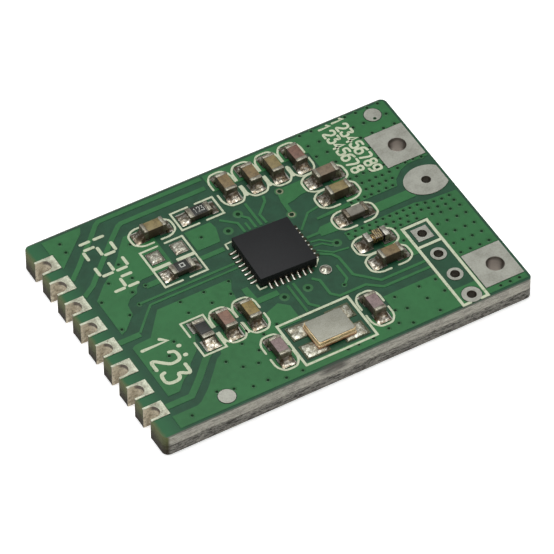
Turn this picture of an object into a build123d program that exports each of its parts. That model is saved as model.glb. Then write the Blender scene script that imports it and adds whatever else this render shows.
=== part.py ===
from build123d import *
import math
import os

# Wireless receiver board. Millimetres, +Z up, centred in X and Y.
# The castellated edge faces -X, the antenna end +X, and z = 0 is the underside of the lowest pads.

# Board
BOARD_LENGTH = 26.6
BOARD_WIDTH = 18.4
LAMINATE = 1.6
CORNER_RADIUS = 0.45
PAD_THICKNESS = 0.05
COPPER_THICKNESS = 0.03
BARREL_WALL = 0.035
MASK_GAP = 0.05
FACETS = 12
EDGE_MARGIN = 0.2

# Castellated edge
CONTACT_COUNT = 8
CONTACT_PITCH = 2.0
CONTACT_ROW_SHIFT = 0.08
CONTACT_DEPTH = 1.32
CONTACT_WIDTH = 1.23
SLOT_WIDTH = 0.92
SLOT_DEPTH = 0.88

# Header row, set in from the +X end
HEADER_COUNT = 4
HEADER_SET_IN = 4.08
HEADER_X = BOARD_LENGTH / 2 - HEADER_SET_IN
HEADER_FIRST_Y = -2.4
HEADER_PITCH = 2.0
HEADER_HOLE_RADIUS = 0.32
HEADER_SQUARE = 1.12
HEADER_RING_RADIUS = 0.53
HEADER_WIDE_RING_RADIUS = 0.65
HEADER_CLEARING = 0.92

# Ground pads and antenna pad at the +X end
GROUND_PAD_LENGTH = 2.8
GROUND_PAD_WIDTH = 3.08
GROUND_PAD_SET_IN = 1.6
GROUND_PAD_X = BOARD_LENGTH / 2 - GROUND_PAD_SET_IN
GROUND_PAD_YS = (5.11, -6.86)
GROUND_HOLE_SET_IN = 1.43
GROUND_HOLE_X = BOARD_LENGTH / 2 - GROUND_HOLE_SET_IN
GROUND_HOLE_YS = (5.08, -6.92)
GROUND_HOLE_RADIUS = 0.61
ANTENNA_SET_IN = 1.42
ANTENNA_X = BOARD_LENGTH / 2 - ANTENNA_SET_IN
ANTENNA_Y = 1.5
ANTENNA_HALF_LENGTH = 1.55
ANTENNA_HALF_WIDTH = 1.25
ANTENNA_HOLE_RADIUS = 0.32

# Sighting discs near two corners of the board, and the test pad
DISC_RADIUS = 0.57
BACK_DISC_SET_IN = 1.43
BACK_DISC_MARGIN = 1.03
FRONT_DISC_SET_IN = 5.03
FRONT_DISC_MARGIN = 1.14
DISC_CENTRES = (
    (BOARD_LENGTH / 2 - BACK_DISC_SET_IN, BOARD_WIDTH / 2 - BACK_DISC_MARGIN),
    (FRONT_DISC_SET_IN - BOARD_LENGTH / 2, FRONT_DISC_MARGIN - BOARD_WIDTH / 2),
)
TEST_PAD_X = 2.35
TEST_PAD_Y = -2.0
TEST_PAD_RADIUS = 0.4
TEST_SOLDER_RADIUS = 0.36
TEST_SOLDER_HEIGHT = 0.14
TEST_SOLDER_SLOPE = 50

# Leadless chip
CHIP_SIDE = 4.0
CHIP_HEIGHT = 0.75
CHIP_X = 0.13
CHIP_Y = 0.64
CHIP_TURN = -2.3
CHIP_STANDOFF = 0.02
LEAD_PITCH = 0.4
LEADS_PER_SIDE = 8
LEAD_WIDTH = 0.2
LEAD_LENGTH = 0.4
LEAD_HEIGHT = 0.22
CHIP_PAD_SIDE = 2.6
LAND_CENTRE_X = 0.17
LAND_CENTRE_Y = 0.735
LAND_REACH = 2.47
LAND_LENGTH = 0.8
LAND_WIDTH = 0.22

# Crystal in its ceramic case, under a metal ring and lid
CRYSTAL_LENGTH = 2.74
CRYSTAL_WIDTH = 2.04
CRYSTAL_X = -0.09
CRYSTAL_Y = -6.64
CRYSTAL_CONTACT_HEIGHT = 0.03
CRYSTAL_BASE_HEIGHT = 0.28
CRYSTAL_SEAL_HEIGHT = 0.26
CRYSTAL_LID_HEIGHT = 0.07
CRYSTAL_SEAL_INSET = 0.02
CRYSTAL_LID_INSET = 0.06
CRYSTAL_LID_CORNER = 0.14
CRYSTAL_CONTACT_LENGTH = 0.95
CRYSTAL_CONTACT_WIDTH = 0.75
CRYSTAL_LAND_X = -0.175
CRYSTAL_LAND_Y = -6.52
CRYSTAL_LAND_LENGTH = 1.7
CRYSTAL_LAND_WIDTH = 1.2
CRYSTAL_LAND_STEP_X = 1.42
CRYSTAL_LAND_STEP_Y = 0.85

# Two-terminal parts
PART_LENGTH = 1.6
PART_WIDTH = 0.83
CAPACITOR_HEIGHT = 0.8
INDUCTOR_HEIGHT = 0.56
COIL_HEIGHT = 0.7
RESISTOR_HEIGHT = 0.45
PLATE = 0.03
TERMINAL_LENGTH = 0.28
OVERCOAT_LENGTH = 0.94
OVERCOAT_HEIGHT = 0.04
INDUCTOR_EDGE_RADIUS = 0.12
LAND_X_LENGTH = 0.95
LAND_Y_WIDTH = 1.0
LAND_STEP = 0.87
FILLET_CLIMB = 0.55
BARE_SOLDER_HEIGHT = 0.13
BARE_SOLDER_TOP = 0.7
COIL_END_LENGTH = 0.36
COIL_TURNS = 6
COIL_WIRE = 0.08
COIL_CORE_WIDTH = 0.5
COIL_CORE_HEIGHT = 0.4
COIL_COAT_HEIGHT = 0.06

# Column of parts nearest the header, set in from the +X end
COLUMN_SET_IN = 7.0
COLUMN_X = BOARD_LENGTH / 2 - COLUMN_SET_IN

# Part centre, land centre and turn of each capacitor
CAPACITORS = (
    (-5.53, 6.20, -5.60, 6.27, 0),
    (0.36, 7.17, 0.42, 7.22, 90),
    (2.16, 7.12, 2.15, 7.22, 90),
    (3.80, 7.12, 3.87, 7.22, 90),
    (5.53, 7.15, 5.55, 7.22, 92),
    (COLUMN_X + 0.08, 4.87, COLUMN_X, 4.85, 0),
    (COLUMN_X + 0.05, 3.18, COLUMN_X, 3.20, 0),
    (COLUMN_X + 0.08, -3.20, COLUMN_X, -3.17, 0),
    (-5.40, -2.98, -5.30, -2.97, 90),
    (-3.70, -3.03, -3.65, -2.97, 90),
    (-3.67, -6.60, -3.65, -6.55, 90),
    (3.31, -6.40, 3.37, -6.37, 90),
)
RESISTORS = (
    (-2.23, 6.16, -2.29, 6.25, 0),
    (-5.50, 2.49, -5.60, 2.52, 0),
    (-6.95, -2.75, -7.05, -2.97, 90),
)
INDUCTOR = (COLUMN_X + 0.05, 1.10, COLUMN_X, 1.07, 0)
COIL = (COLUMN_X + 0.05, -1.50, COLUMN_X, -1.50, 0)
BARE_SITE = (-5.60, 4.25)

# Limits of the masked copper near the board's edges and the castellated contacts
COPPER_BACK_MARGIN = 0.25
COPPER_FRONT_MARGIN = 0.3
COPPER_BACK = BOARD_WIDTH / 2 - COPPER_BACK_MARGIN
COPPER_FRONT = COPPER_FRONT_MARGIN - BOARD_WIDTH / 2
COPPER_END = BOARD_LENGTH / 2 - EDGE_MARGIN
CONTACT_EDGE = CONTACT_DEPTH + MASK_GAP - BOARD_LENGTH / 2
BACK_TRACE_Y = COPPER_BACK - 0.15
SECOND_TRACE_Y = BACK_TRACE_Y - 0.85

# Copper under the mask: traces as widths with centre lines
TRACES = (
    (
        0.32, (CONTACT_EDGE, 5.15), (CONTACT_EDGE + 0.93, 6.0), (CONTACT_EDGE + 1.93, 7.02),
        (-9.3, 7.65), (-8.4, BACK_TRACE_Y - 0.2), (-8.1, BACK_TRACE_Y), (-0.6, BACK_TRACE_Y),
    ),
    (
        0.34, (CONTACT_EDGE, 3.55), (CONTACT_EDGE + 0.93, 4.15), (CONTACT_EDGE + 1.93, 5.15),
        (-8.1, 7.0), (-7.15, SECOND_TRACE_Y - 0.1), (-6.9, SECOND_TRACE_Y), (-0.75, SECOND_TRACE_Y),
    ),
    (0.42, (CONTACT_EDGE, -0.92), (-10.4, -0.92)),
    (0.16, (-10.35, -0.8), (-9.1, 0.5), (-8.65, 0.93), (-2.35, 0.93)),
    (0.18, (-9.2, 1.33), (-2.35, 1.33)),
    (0.42, (-8.15, 2.42), (-7.1, 2.42)),
    (0.36, (-4.0, 2.75), (-2.3, 2.75)),
    (0.45, (CONTACT_EDGE, -6.95), (-10.15, -6.95), (-9.0, -5.9), (-7.75, -4.6), (-7.3, -4.3)),
    (0.18, (-1.35, 5.05), (-0.45, 4.25), (-0.42, 3.35)),
    (0.18, (0.05, 4.65), (0.37, 4.3), (0.38, 3.35)),
    (0.16, (-0.03, 4.05), (-0.03, 3.35)),
    (0.2, (0.78, 5.5), (0.78, 3.35)),
    (0.18, (2.12, 5.5), (2.0, 5.05), (1.12, 4.2), (1.17, 3.35)),
    (0.16, (2.75, 1.7), (3.85, 2.8), (4.7, 2.95)),
    (0.2, (2.7, 0.95), (3.7, 0.95)),
    (0.14, (2.72, 0.53), (3.3, 0.42), (4.0, -0.2)),
    (0.14, (2.72, 0.13), (3.3, 0.05), (3.8, -0.45)),
    (0.14, (2.72, -0.3), (3.55, -0.95), (4.6, -1.1)),
    (
        0.2, (2.72, -0.62), (3.35, -1.05), (3.6, -1.5), (3.65, -3.2), (4.95, -4.5),
        (HEADER_X - HEADER_CLEARING, -4.5),
    ),
    (0.18, (3.15, -2.0), (3.15, -3.3), (2.85, -3.6)),
    (
        0.2, (1.2, -2.2), (1.58, -2.6), (1.58, -3.9), (2.0, -4.35), (3.9, -4.35), (4.8, -5.05),
        (HEADER_X - HEADER_CLEARING, -5.08),
    ),
    (0.18, (-0.42, -1.95), (-0.42, -4.5)),
    (0.2, (-0.02, -1.95), (-0.02, -4.0), (0.45, -4.5)),
    (0.3, (2.95, 3.4), (3.0, 4.5), (3.2, 5.3)),
)

# Copper under the mask: filled areas by their corners
FILLS = (
    (
        (-12.1, COPPER_BACK), (-9.3, COPPER_BACK), (-9.55, 8.45), (-10.15, 7.92), (-11.05, 7.1),
        (CONTACT_EDGE, 6.3), (CONTACT_EDGE, 7.75), (-12.1, 7.75),
    ),
    (
        (-11.42, -0.4), (-11.42, 2.85), (-10.4, 3.85), (-9.3, 4.65), (-8.45, 5.55), (-8.0, 6.15),
        (-7.35, 6.85), (-5.7, 6.85), (-5.7, 3.1), (-8.15, 3.05), (-8.7, 2.6), (-8.9, 2.2),
        (-9.5, 2.0), (-9.9, 1.6), (-10.0, 0.8), (-11.0, -0.2),
    ),
    (
        (-8.5, 0.35), (-3.5, 0.35), (-3.3, 0.1), (-3.65, -0.55), (-3.75, -1.4), (-4.2, -2.7),
        (-7.5, -2.7), (-8.05, -3.85), (-8.9, -4.6), (-9.2, -5.15), (-9.9, -5.55), (-10.6, -6.25),
        (-11.4, -6.25), (-11.4, -1.7), (-11.1, -1.55), (-10.0, -1.5),
    ),
    (
        (-12.0, -7.8), (-10.2, -7.8), (-9.85, -7.65), (-9.0, -6.95), (-8.0, -5.9), (-7.3, -5.1),
        (-6.85, -4.85), (-6.3, -3.3), (-2.7, -3.3), (-1.7, -2.95), (-1.1, -3.5), (-1.1, -4.9),
        (-2.7, -4.9), (-2.7, -8.15), (2.3, -8.15), (2.3, -7.1), (4.3, -7.1), (4.3, -5.78),
        (HEADER_X - HEADER_CLEARING, -5.78), (HEADER_X - HEADER_CLEARING, -7.5),
        (HEADER_X + HEADER_CLEARING, -7.5), (HEADER_X + HEADER_CLEARING, -1.3),
        (HEADER_X - HEADER_CLEARING, -1.3), (HEADER_X - HEADER_CLEARING, -3.75),
        (6.6, -3.75), (6.6, -0.75), (4.95, -0.6), (4.95, 0.12), (10.2, 0.15), (10.9, -0.05),
        (COPPER_END, -0.2), (COPPER_END, COPPER_FRONT), (-12.0, COPPER_FRONT),
    ),
    (
        (-0.45, COPPER_BACK), (COPPER_END, COPPER_BACK), (COPPER_END, 3.32), (11.6, 3.3),
        (10.9, 3.05), (10.25, 2.5), (10.0, 1.95), (4.1, 1.95), (4.1, 2.14), (6.55, 2.3),
        (6.55, 7.35), (-0.45, 7.35),
    ),
    ((-3.85, 3.42), (-2.2, 3.42), (-1.85, 4.6), (-1.95, 5.2), (-3.85, 5.2)),
    ((-3.1, -0.8), (-2.65, -0.8), (-2.6, -1.95), (-1.2, -1.95), (-1.2, -2.4), (-3.1, -2.4)),
    ((3.05, 4.1), (3.7, 4.2), (4.3, 4.4), (4.9, 4.4), (4.9, 5.5), (3.05, 5.5)),
    ((3.6, 0.6), (4.9, 0.5), (4.9, 1.4), (3.9, 1.35), (3.6, 1.1)),
    ((7.0, 0.6), (10.6, 0.6), (10.6, 1.35), (7.0, 1.35)),
)

# Heights of the board's top and of the lands that the parts sit on
TOP = PAD_THICKNESS + LAMINATE
SEAT = TOP + PAD_THICKNESS


def block(x, y, z, length, width, height):
    """A box centred on x and y with its underside at z."""
    return Pos(x, y, z + height / 2) * Box(length, width, height)


def plate(outline, z, height):
    """An outline in the XY plane raised into a plate with its underside at z."""
    return extrude(Pos(0, 0, z) * outline, amount=height, dir=(0, 0, 1))


def polygon(points):
    """A flat face from its corners."""
    return make_face(Polyline(*points, close=True))


def window(x, y, length, width, turn=0):
    """A flat rectangle, turned about its own centre."""
    return Pos(x, y) * Rot(0, 0, turn) * Rectangle(length, width)


def faceted(x, y, radius):
    """A many-sided figure around a circle, for drilled walls hidden by plating and openings in the mask."""
    turn = 180 / FACETS
    return Pos(x, y) * RegularPolygon(radius, FACETS, major_radius=False, rotation=turn)


def side_point(before, here, after, offset):
    """The corner of a line's edge at one of its points, mitred where the line bends."""
    normals = []
    for start, end in ((before, here), (here, after)):
        if start is not None and end is not None:
            dx, dy = end[0] - start[0], end[1] - start[1]
            size = math.hypot(dx, dy)
            normals.append((-dy / size, dx / size))
    nx = sum(n[0] for n in normals) / len(normals)
    ny = sum(n[1] for n in normals) / len(normals)
    scale = offset / (nx * nx + ny * ny)
    return here[0] + nx * scale, here[1] + ny * scale


def strip(points, width):
    """A line of constant width along its centre points."""
    ends = (None, *points, None)
    rows = tuple(zip(ends, points, ends[2:]))
    left = [side_point(a, b, c, width / 2) for a, b, c in rows]
    right = [side_point(a, b, c, -width / 2) for a, b, c in rows]
    return polygon(left + right[::-1])


def contact_ys():
    """The middle of each castellated contact, from the +Y end."""
    first = CONTACT_ROW_SHIFT + CONTACT_PITCH * (CONTACT_COUNT - 1) / 2
    return [first - CONTACT_PITCH * i for i in range(CONTACT_COUNT)]


def slot(y, end, half):
    """The half-open slot of one contact, from the figure of its inner end and its half width."""
    edge = -BOARD_LENGTH / 2 - half
    return end + window((edge + slot_centre_x()) / 2, y, slot_centre_x() - edge, 2 * half)


def slot_centre_x():
    """The middle of the round inner end of the slots."""
    return -BOARD_LENGTH / 2 + SLOT_DEPTH - SLOT_WIDTH / 2


def open_slot(y):
    """The slot inside its plating."""
    half = SLOT_WIDTH / 2
    return slot(y, Pos(slot_centre_x(), y) * Circle(half), half)


def milled_slot(y):
    """The slot in the laminate, one plating wall wider."""
    half = SLOT_WIDTH / 2 + BARREL_WALL
    return slot(y, faceted(slot_centre_x(), y, half), half)


def header_ys():
    """The centres of the header holes, from the +Y end."""
    return [HEADER_FIRST_Y - HEADER_PITCH * i for i in range(HEADER_COUNT)]


def plated_holes():
    """Centre and radius of every plated hole."""
    holes = [(HEADER_X, y, HEADER_HOLE_RADIUS) for y in header_ys()]
    holes += [(GROUND_HOLE_X, y, GROUND_HOLE_RADIUS) for y in GROUND_HOLE_YS]
    holes.append((ANTENNA_X, ANTENNA_Y, ANTENNA_HOLE_RADIUS))
    return holes


def circuit_board():
    """The laminate with its slots and drilled holes."""
    outline = RectangleRounded(BOARD_LENGTH, BOARD_WIDTH, CORNER_RADIUS)
    outline -= [milled_slot(y) for y in contact_ys()]
    outline -= [faceted(x, y, radius + BARREL_WALL) for x, y, radius in plated_holes()]
    return plate(outline, PAD_THICKNESS, LAMINATE)


def eyelet(outline, x, y, radius):
    """A plated hole: pads of one outline above and below, joined by the barrel."""
    body = plate(outline, 0, PAD_THICKNESS)
    body += plate(faceted(x, y, radius + BARREL_WALL), 0, SEAT)
    body += plate(outline, TOP, PAD_THICKNESS)
    return body - plate(Pos(x, y) * Circle(radius), 0, SEAT)


def edge_contacts():
    """The castellated contacts: a pad above and below, joined by the slot's lining."""
    contacts = []
    for y in contact_ys():
        x = -BOARD_LENGTH / 2 + CONTACT_DEPTH / 2
        pad = window(x, y, CONTACT_DEPTH, CONTACT_WIDTH)
        body = plate(pad, 0, PAD_THICKNESS)
        body += plate(milled_slot(y) & pad, 0, SEAT)
        body += plate(pad, TOP, PAD_THICKNESS)
        contacts.append(body - plate(open_slot(y), 0, SEAT))
    return contacts


def header_square_pad():
    """The square pad at the header's first hole."""
    y = header_ys()[0]
    return eyelet(window(HEADER_X, y, HEADER_SQUARE, HEADER_SQUARE), HEADER_X, y, HEADER_HOLE_RADIUS)


def header_rings():
    """Place and radius of the round header pads."""
    ys = header_ys()[1:]
    return [(y, HEADER_WIDE_RING_RADIUS if y == ys[-1] else HEADER_RING_RADIUS) for y in ys]


def header_ring_pads():
    """The round pads of the other header holes, the last one wider."""
    return [
        eyelet(Pos(HEADER_X, y) * Circle(radius), HEADER_X, y, HEADER_HOLE_RADIUS)
        for y, radius in header_rings()
    ]


def ground_pads():
    """The two large pads with plated holes at the antenna end."""
    pads = []
    for y, hole_y in zip(GROUND_PAD_YS, GROUND_HOLE_YS):
        outline = window(GROUND_PAD_X, y, GROUND_PAD_LENGTH, GROUND_PAD_WIDTH)
        pads.append(eyelet(outline, GROUND_HOLE_X, hole_y, GROUND_HOLE_RADIUS))
    return pads


def antenna_outline(grow):
    """The antenna pad: an oval cut straight near the board's edge."""
    length = ANTENNA_HALF_LENGTH + grow
    width = ANTENNA_HALF_WIDTH + grow
    oval = Pos(ANTENNA_X, ANTENNA_Y) * Ellipse(length, width)
    limit = BOARD_LENGTH / 2 - EDGE_MARGIN + grow
    return oval - window(limit + length / 2, ANTENNA_Y, length, 2 * width)


def antenna_pad():
    """The antenna pad with its plated hole."""
    return eyelet(antenna_outline(0), ANTENNA_X, ANTENNA_Y, ANTENNA_HOLE_RADIUS)


def sighting_discs():
    """The two bare round discs."""
    return [plate(Pos(x, y) * Circle(DISC_RADIUS), TOP, PAD_THICKNESS) for x, y in DISC_CENTRES]


def test_pad_solder():
    """The low mound of solder on the test pad."""
    foot = Pos(0, 0, SEAT) * faceted(TEST_PAD_X, TEST_PAD_Y, TEST_SOLDER_RADIUS)
    return extrude(foot, amount=TEST_SOLDER_HEIGHT, taper=TEST_SOLDER_SLOPE)


def land_pairs():
    """Centre and turn of every pair of lands for two-terminal parts."""
    sites = [(s[2], s[3], round(s[4] / 90) * 90) for s in (*CAPACITORS, *RESISTORS, INDUCTOR, COIL)]
    sites.append((*BARE_SITE, 0))
    return sites


def land_centres():
    """Centre and turn of every land of the two-terminal parts."""
    places = []
    for x, y, turn in land_pairs():
        c, s = math.cos(math.radians(turn)), math.sin(math.radians(turn))
        for side in (-1, 1):
            places.append((x + side * LAND_STEP * c, y + side * LAND_STEP * s, turn))
    return places


def part_lands():
    """The lands under the two-terminal parts."""
    return [
        plate(window(x, y, LAND_X_LENGTH, LAND_Y_WIDTH, turn), TOP, PAD_THICKNESS)
        for x, y, turn in land_centres()
    ]


def lead_rows(step):
    """Turn and offset along the side of each chip lead."""
    first = -(LEADS_PER_SIDE - 1) / 2
    return [(90 * side, (first + i) * step) for side in range(4) for i in range(LEADS_PER_SIDE)]


def chip_lands():
    """The chip's lands with the large middle one."""
    lands = []
    for turn, offset in lead_rows(LEAD_PITCH):
        middle = Pos(LAND_CENTRE_X, LAND_CENTRE_Y) * Rot(0, 0, turn)
        outline = middle * window(LAND_REACH - LAND_LENGTH / 2, offset, LAND_LENGTH, LAND_WIDTH)
        lands.append(plate(outline, TOP, PAD_THICKNESS))
    outline = window(LAND_CENTRE_X, LAND_CENTRE_Y, CHIP_PAD_SIDE, CHIP_PAD_SIDE)
    lands.append(plate(outline, TOP, PAD_THICKNESS))
    return lands


def chip_place():
    """Where the chip sits, with its slight turn."""
    return Pos(CHIP_X, CHIP_Y, SEAT) * Rot(0, 0, CHIP_TURN)


def chip_leads():
    """The leads at the foot of the chip's four sides."""
    leads = []
    for turn, offset in lead_rows(LEAD_PITCH):
        x = CHIP_SIDE / 2 - LEAD_LENGTH / 2
        lead = Rot(0, 0, turn) * block(x, offset, 0, LEAD_LENGTH, LEAD_WIDTH, LEAD_HEIGHT)
        leads.append(chip_place() * lead)
    return leads


def chip_body():
    """The moulded body with a notch over each lead."""
    foot = Rectangle(CHIP_SIDE, CHIP_SIDE)
    notches = []
    for turn, offset in lead_rows(LEAD_PITCH):
        x = CHIP_SIDE / 2 - LEAD_LENGTH / 2
        notches.append(Rot(0, 0, turn) * window(x, offset, LEAD_LENGTH, LEAD_WIDTH))
    foot -= notches
    low = plate(foot, CHIP_STANDOFF, LEAD_HEIGHT - CHIP_STANDOFF)
    high = block(0, 0, LEAD_HEIGHT, CHIP_SIDE, CHIP_SIDE, CHIP_HEIGHT - LEAD_HEIGHT)
    return chip_place() * (low + high)


def chip_pad():
    """The metal pad in the middle of the chip's underside."""
    side = CHIP_PAD_SIDE - 2 * MASK_GAP
    return chip_place() * block(0, 0, 0, side, side, CHIP_STANDOFF)


def crystal_corners(step_x, step_y):
    """The four corners about a centre."""
    return [(sx * step_x, sy * step_y) for sx in (-1, 1) for sy in (-1, 1)]


def crystal_land_windows(grow):
    """The outlines of the crystal's four lands, grown all round."""
    length = CRYSTAL_LAND_LENGTH + 2 * grow
    width = CRYSTAL_LAND_WIDTH + 2 * grow
    corners = crystal_corners(CRYSTAL_LAND_STEP_X, CRYSTAL_LAND_STEP_Y)
    return [window(CRYSTAL_LAND_X + x, CRYSTAL_LAND_Y + y, length, width) for x, y in corners]


def crystal_lands():
    """The crystal's four lands."""
    return [plate(outline, TOP, PAD_THICKNESS) for outline in crystal_land_windows(0)]


def crystal_contacts():
    """The metal contacts under the ceramic case's corners."""
    step_x = (CRYSTAL_LENGTH - CRYSTAL_CONTACT_LENGTH) / 2
    step_y = (CRYSTAL_WIDTH - CRYSTAL_CONTACT_WIDTH) / 2
    size = (CRYSTAL_CONTACT_LENGTH, CRYSTAL_CONTACT_WIDTH, CRYSTAL_CONTACT_HEIGHT)
    corners = crystal_corners(step_x, step_y)
    return [block(CRYSTAL_X + x, CRYSTAL_Y + y, SEAT, *size) for x, y in corners]


def crystal_base():
    """The ceramic case."""
    z = SEAT + CRYSTAL_CONTACT_HEIGHT
    return block(CRYSTAL_X, CRYSTAL_Y, z, CRYSTAL_LENGTH, CRYSTAL_WIDTH, CRYSTAL_BASE_HEIGHT)


def crystal_cover(inset, z, height):
    """A plate with rounded corners on top of the ceramic case."""
    length = CRYSTAL_LENGTH - 2 * inset
    width = CRYSTAL_WIDTH - 2 * inset
    outline = Pos(CRYSTAL_X, CRYSTAL_Y) * RectangleRounded(length, width, CRYSTAL_LID_CORNER)
    return plate(outline, z, height)


def crystal_seal():
    """The metal seal under the lid."""
    z = SEAT + CRYSTAL_CONTACT_HEIGHT + CRYSTAL_BASE_HEIGHT
    return crystal_cover(CRYSTAL_SEAL_INSET, z, CRYSTAL_SEAL_HEIGHT)


def crystal_lid():
    """The metal lid."""
    z = SEAT + CRYSTAL_CONTACT_HEIGHT + CRYSTAL_BASE_HEIGHT + CRYSTAL_SEAL_HEIGHT
    return crystal_cover(CRYSTAL_LID_INSET, z, CRYSTAL_LID_HEIGHT)


def part_place(site):
    """Where a two-terminal part sits."""
    return Pos(site[0], site[1], SEAT) * Rot(0, 0, site[4])


def core_block(height):
    """The inside of a two-terminal part, one plating thickness in from its ends and faces."""
    return block(0, 0, PLATE, PART_LENGTH - 2 * PLATE, PART_WIDTH - 2 * PLATE, height - 2 * PLATE)


def end_caps(core, length, height):
    """The metal caps around both ends of a core."""
    x = (PART_LENGTH - length) / 2
    return [block(side * x, 0, 0, length, PART_WIDTH, height) - core for side in (-1, 1)]


def capacitor_bodies():
    """The ceramic body of each capacitor."""
    return [part_place(site) * core_block(CAPACITOR_HEIGHT) for site in CAPACITORS]


def capacitor_terminals():
    """The end caps of all the capacitors."""
    caps = end_caps(core_block(CAPACITOR_HEIGHT), TERMINAL_LENGTH, CAPACITOR_HEIGHT)
    return [part_place(site) * cap for site in CAPACITORS for cap in caps]


def resistor_core():
    """A resistor's ceramic strip, as wide as the part."""
    return block(0, 0, PLATE, PART_LENGTH - 2 * PLATE, PART_WIDTH, RESISTOR_HEIGHT - 2 * PLATE)


def resistor_substrates():
    """The ceramic strips of the resistors."""
    return [part_place(site) * resistor_core() for site in RESISTORS]


def resistor_terminals():
    """The folded end plates of the resistors."""
    caps = end_caps(resistor_core(), TERMINAL_LENGTH, RESISTOR_HEIGHT)
    return [part_place(site) * cap for site in RESISTORS for cap in caps]


def resistor_overcoats():
    """The dark coat on top of each resistor."""
    width = PART_WIDTH - 2 * PLATE
    coat = block(0, 0, RESISTOR_HEIGHT - PLATE, OVERCOAT_LENGTH - 2 * PLATE, width, OVERCOAT_HEIGHT)
    return [part_place(site) * coat for site in RESISTORS]


def inductor_body():
    """The moulded inductor body with rounded long edges."""
    core = core_block(INDUCTOR_HEIGHT)
    edges = core.edges().filter_by(Axis.X).group_by(Axis.Z)[-1]
    return part_place(INDUCTOR) * fillet(edges, INDUCTOR_EDGE_RADIUS)


def inductor_terminals():
    """The end caps of the moulded inductor."""
    caps = end_caps(core_block(INDUCTOR_HEIGHT), TERMINAL_LENGTH, INDUCTOR_HEIGHT)
    return [part_place(INDUCTOR) * cap for cap in caps]


def coil_waist_z():
    """Height of the wound core's waist above its seat."""
    return (COIL_HEIGHT - COIL_CORE_HEIGHT) / 2


def coil_gap():
    """The length of the waist between the wound core's end blocks."""
    return PART_LENGTH - 2 * COIL_END_LENGTH


def coil_core():
    """The wound inductor's core: a waist between two end blocks."""
    ends = core_block(COIL_HEIGHT)
    ends -= block(0, 0, 0, coil_gap(), PART_WIDTH, COIL_HEIGHT)
    waist = block(0, 0, coil_waist_z(), coil_gap() + 2 * PLATE, COIL_CORE_WIDTH, COIL_CORE_HEIGHT)
    return part_place(COIL) * (ends + waist)


def coil_winding():
    """The turns of wire around the waist."""
    pitch = coil_gap() / (COIL_TURNS + 1)
    width = COIL_CORE_WIDTH + 2 * COIL_WIRE
    height = COIL_CORE_HEIGHT + 2 * COIL_WIRE
    turns = []
    for i in range(COIL_TURNS):
        x = (i - (COIL_TURNS - 1) / 2) * pitch
        turn = block(x, 0, coil_waist_z() - COIL_WIRE, COIL_WIRE, width, height)
        turn -= block(x, 0, coil_waist_z(), COIL_WIRE, COIL_CORE_WIDTH, COIL_CORE_HEIGHT)
        turns.append(part_place(COIL) * turn)
    return turns


def coil_coat():
    """The flat resin coat over the winding."""
    z = coil_waist_z() + COIL_CORE_HEIGHT + COIL_WIRE
    length = coil_gap() - 4 * COIL_WIRE
    coat = block(COIL_WIRE, 0, z, length, PART_WIDTH - 2 * PLATE, COIL_COAT_HEIGHT)
    return part_place(COIL) * coat


def coil_terminals():
    """The end caps of the wound inductor."""
    caps = end_caps(core_block(COIL_HEIGHT), COIL_END_LENGTH, COIL_HEIGHT)
    return [part_place(COIL) * cap for cap in caps]


def fillet_prism(start, end, height):
    """A solder fillet along +X: steep at the part's end face, thin at the land's edge."""
    knee_x = start + (end - start) / 3
    knee_z = height / 3
    profile = polygon([(start, 0), (end, 0), (knee_x, knee_z), (start + PLATE, height), (start, height)])
    half = PART_WIDTH / 2
    return Pos(0, half, 0) * extrude(Rot(90, 0, 0) * profile, amount=2 * half, dir=(0, -1, 0))


def solder_fillets():
    """The fillets at both ends of every two-terminal part."""
    fillets = []
    sites = [(s, CAPACITOR_HEIGHT) for s in CAPACITORS]
    sites += [(INDUCTOR, INDUCTOR_HEIGHT), (COIL, COIL_HEIGHT)]
    sites += [(s, RESISTOR_HEIGHT) for s in RESISTORS]
    for site, height in sites:
        turn = math.radians(round(site[4] / 90) * 90)
        dx, dy = site[2] - site[0], site[3] - site[1]
        shift = dx * math.cos(turn) + dy * math.sin(turn)
        for side in (-1, 1):
            end = LAND_STEP + LAND_X_LENGTH / 2 + side * shift
            prism = fillet_prism(PART_LENGTH / 2, end, FILLET_CLIMB * height)
            fillets.append(part_place(site) * Rot(0, 0, 0 if side > 0 else 180) * prism)
    return fillets


def bare_site_solder():
    """The solder left on the two lands of the empty place."""
    mounds = []
    for side in (-1, 1):
        x, y = BARE_SITE[0] + side * LAND_STEP, BARE_SITE[1]
        low = Pos(x, y, SEAT) * Rectangle(LAND_X_LENGTH, LAND_Y_WIDTH)
        top = Rectangle(BARE_SOLDER_TOP * LAND_X_LENGTH, BARE_SOLDER_TOP * LAND_Y_WIDTH)
        mounds.append(loft([low, Pos(x, y, SEAT + BARE_SOLDER_HEIGHT) * top]))
    return mounds


def pad_windows():
    """The openings in the masked copper around every bare pad and land."""
    gap = MASK_GAP
    length = LAND_X_LENGTH + 2 * gap
    holes = [window(x, y, length, LAND_Y_WIDTH + 2 * gap, turn) for x, y, turn in land_centres()]
    row = window(LAND_REACH - LAND_LENGTH / 2, 0, LAND_LENGTH + 2 * gap, LEAD_PITCH * LEADS_PER_SIDE)
    for turn in (0, 90, 180, 270):
        holes.append(Pos(LAND_CENTRE_X, LAND_CENTRE_Y) * Rot(0, 0, turn) * row)
    holes += crystal_land_windows(gap)
    holes += [faceted(x, y, DISC_RADIUS + gap) for x, y in DISC_CENTRES]
    holes += [faceted(HEADER_X, y, radius + gap) for y, radius in header_rings()]
    square = HEADER_SQUARE + 2 * gap
    holes.append(window(HEADER_X, header_ys()[0], square, square))
    holes.append(faceted(TEST_PAD_X, TEST_PAD_Y, TEST_PAD_RADIUS + gap))
    holes.append(antenna_outline(gap))
    return holes + edge_windows()


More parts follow.
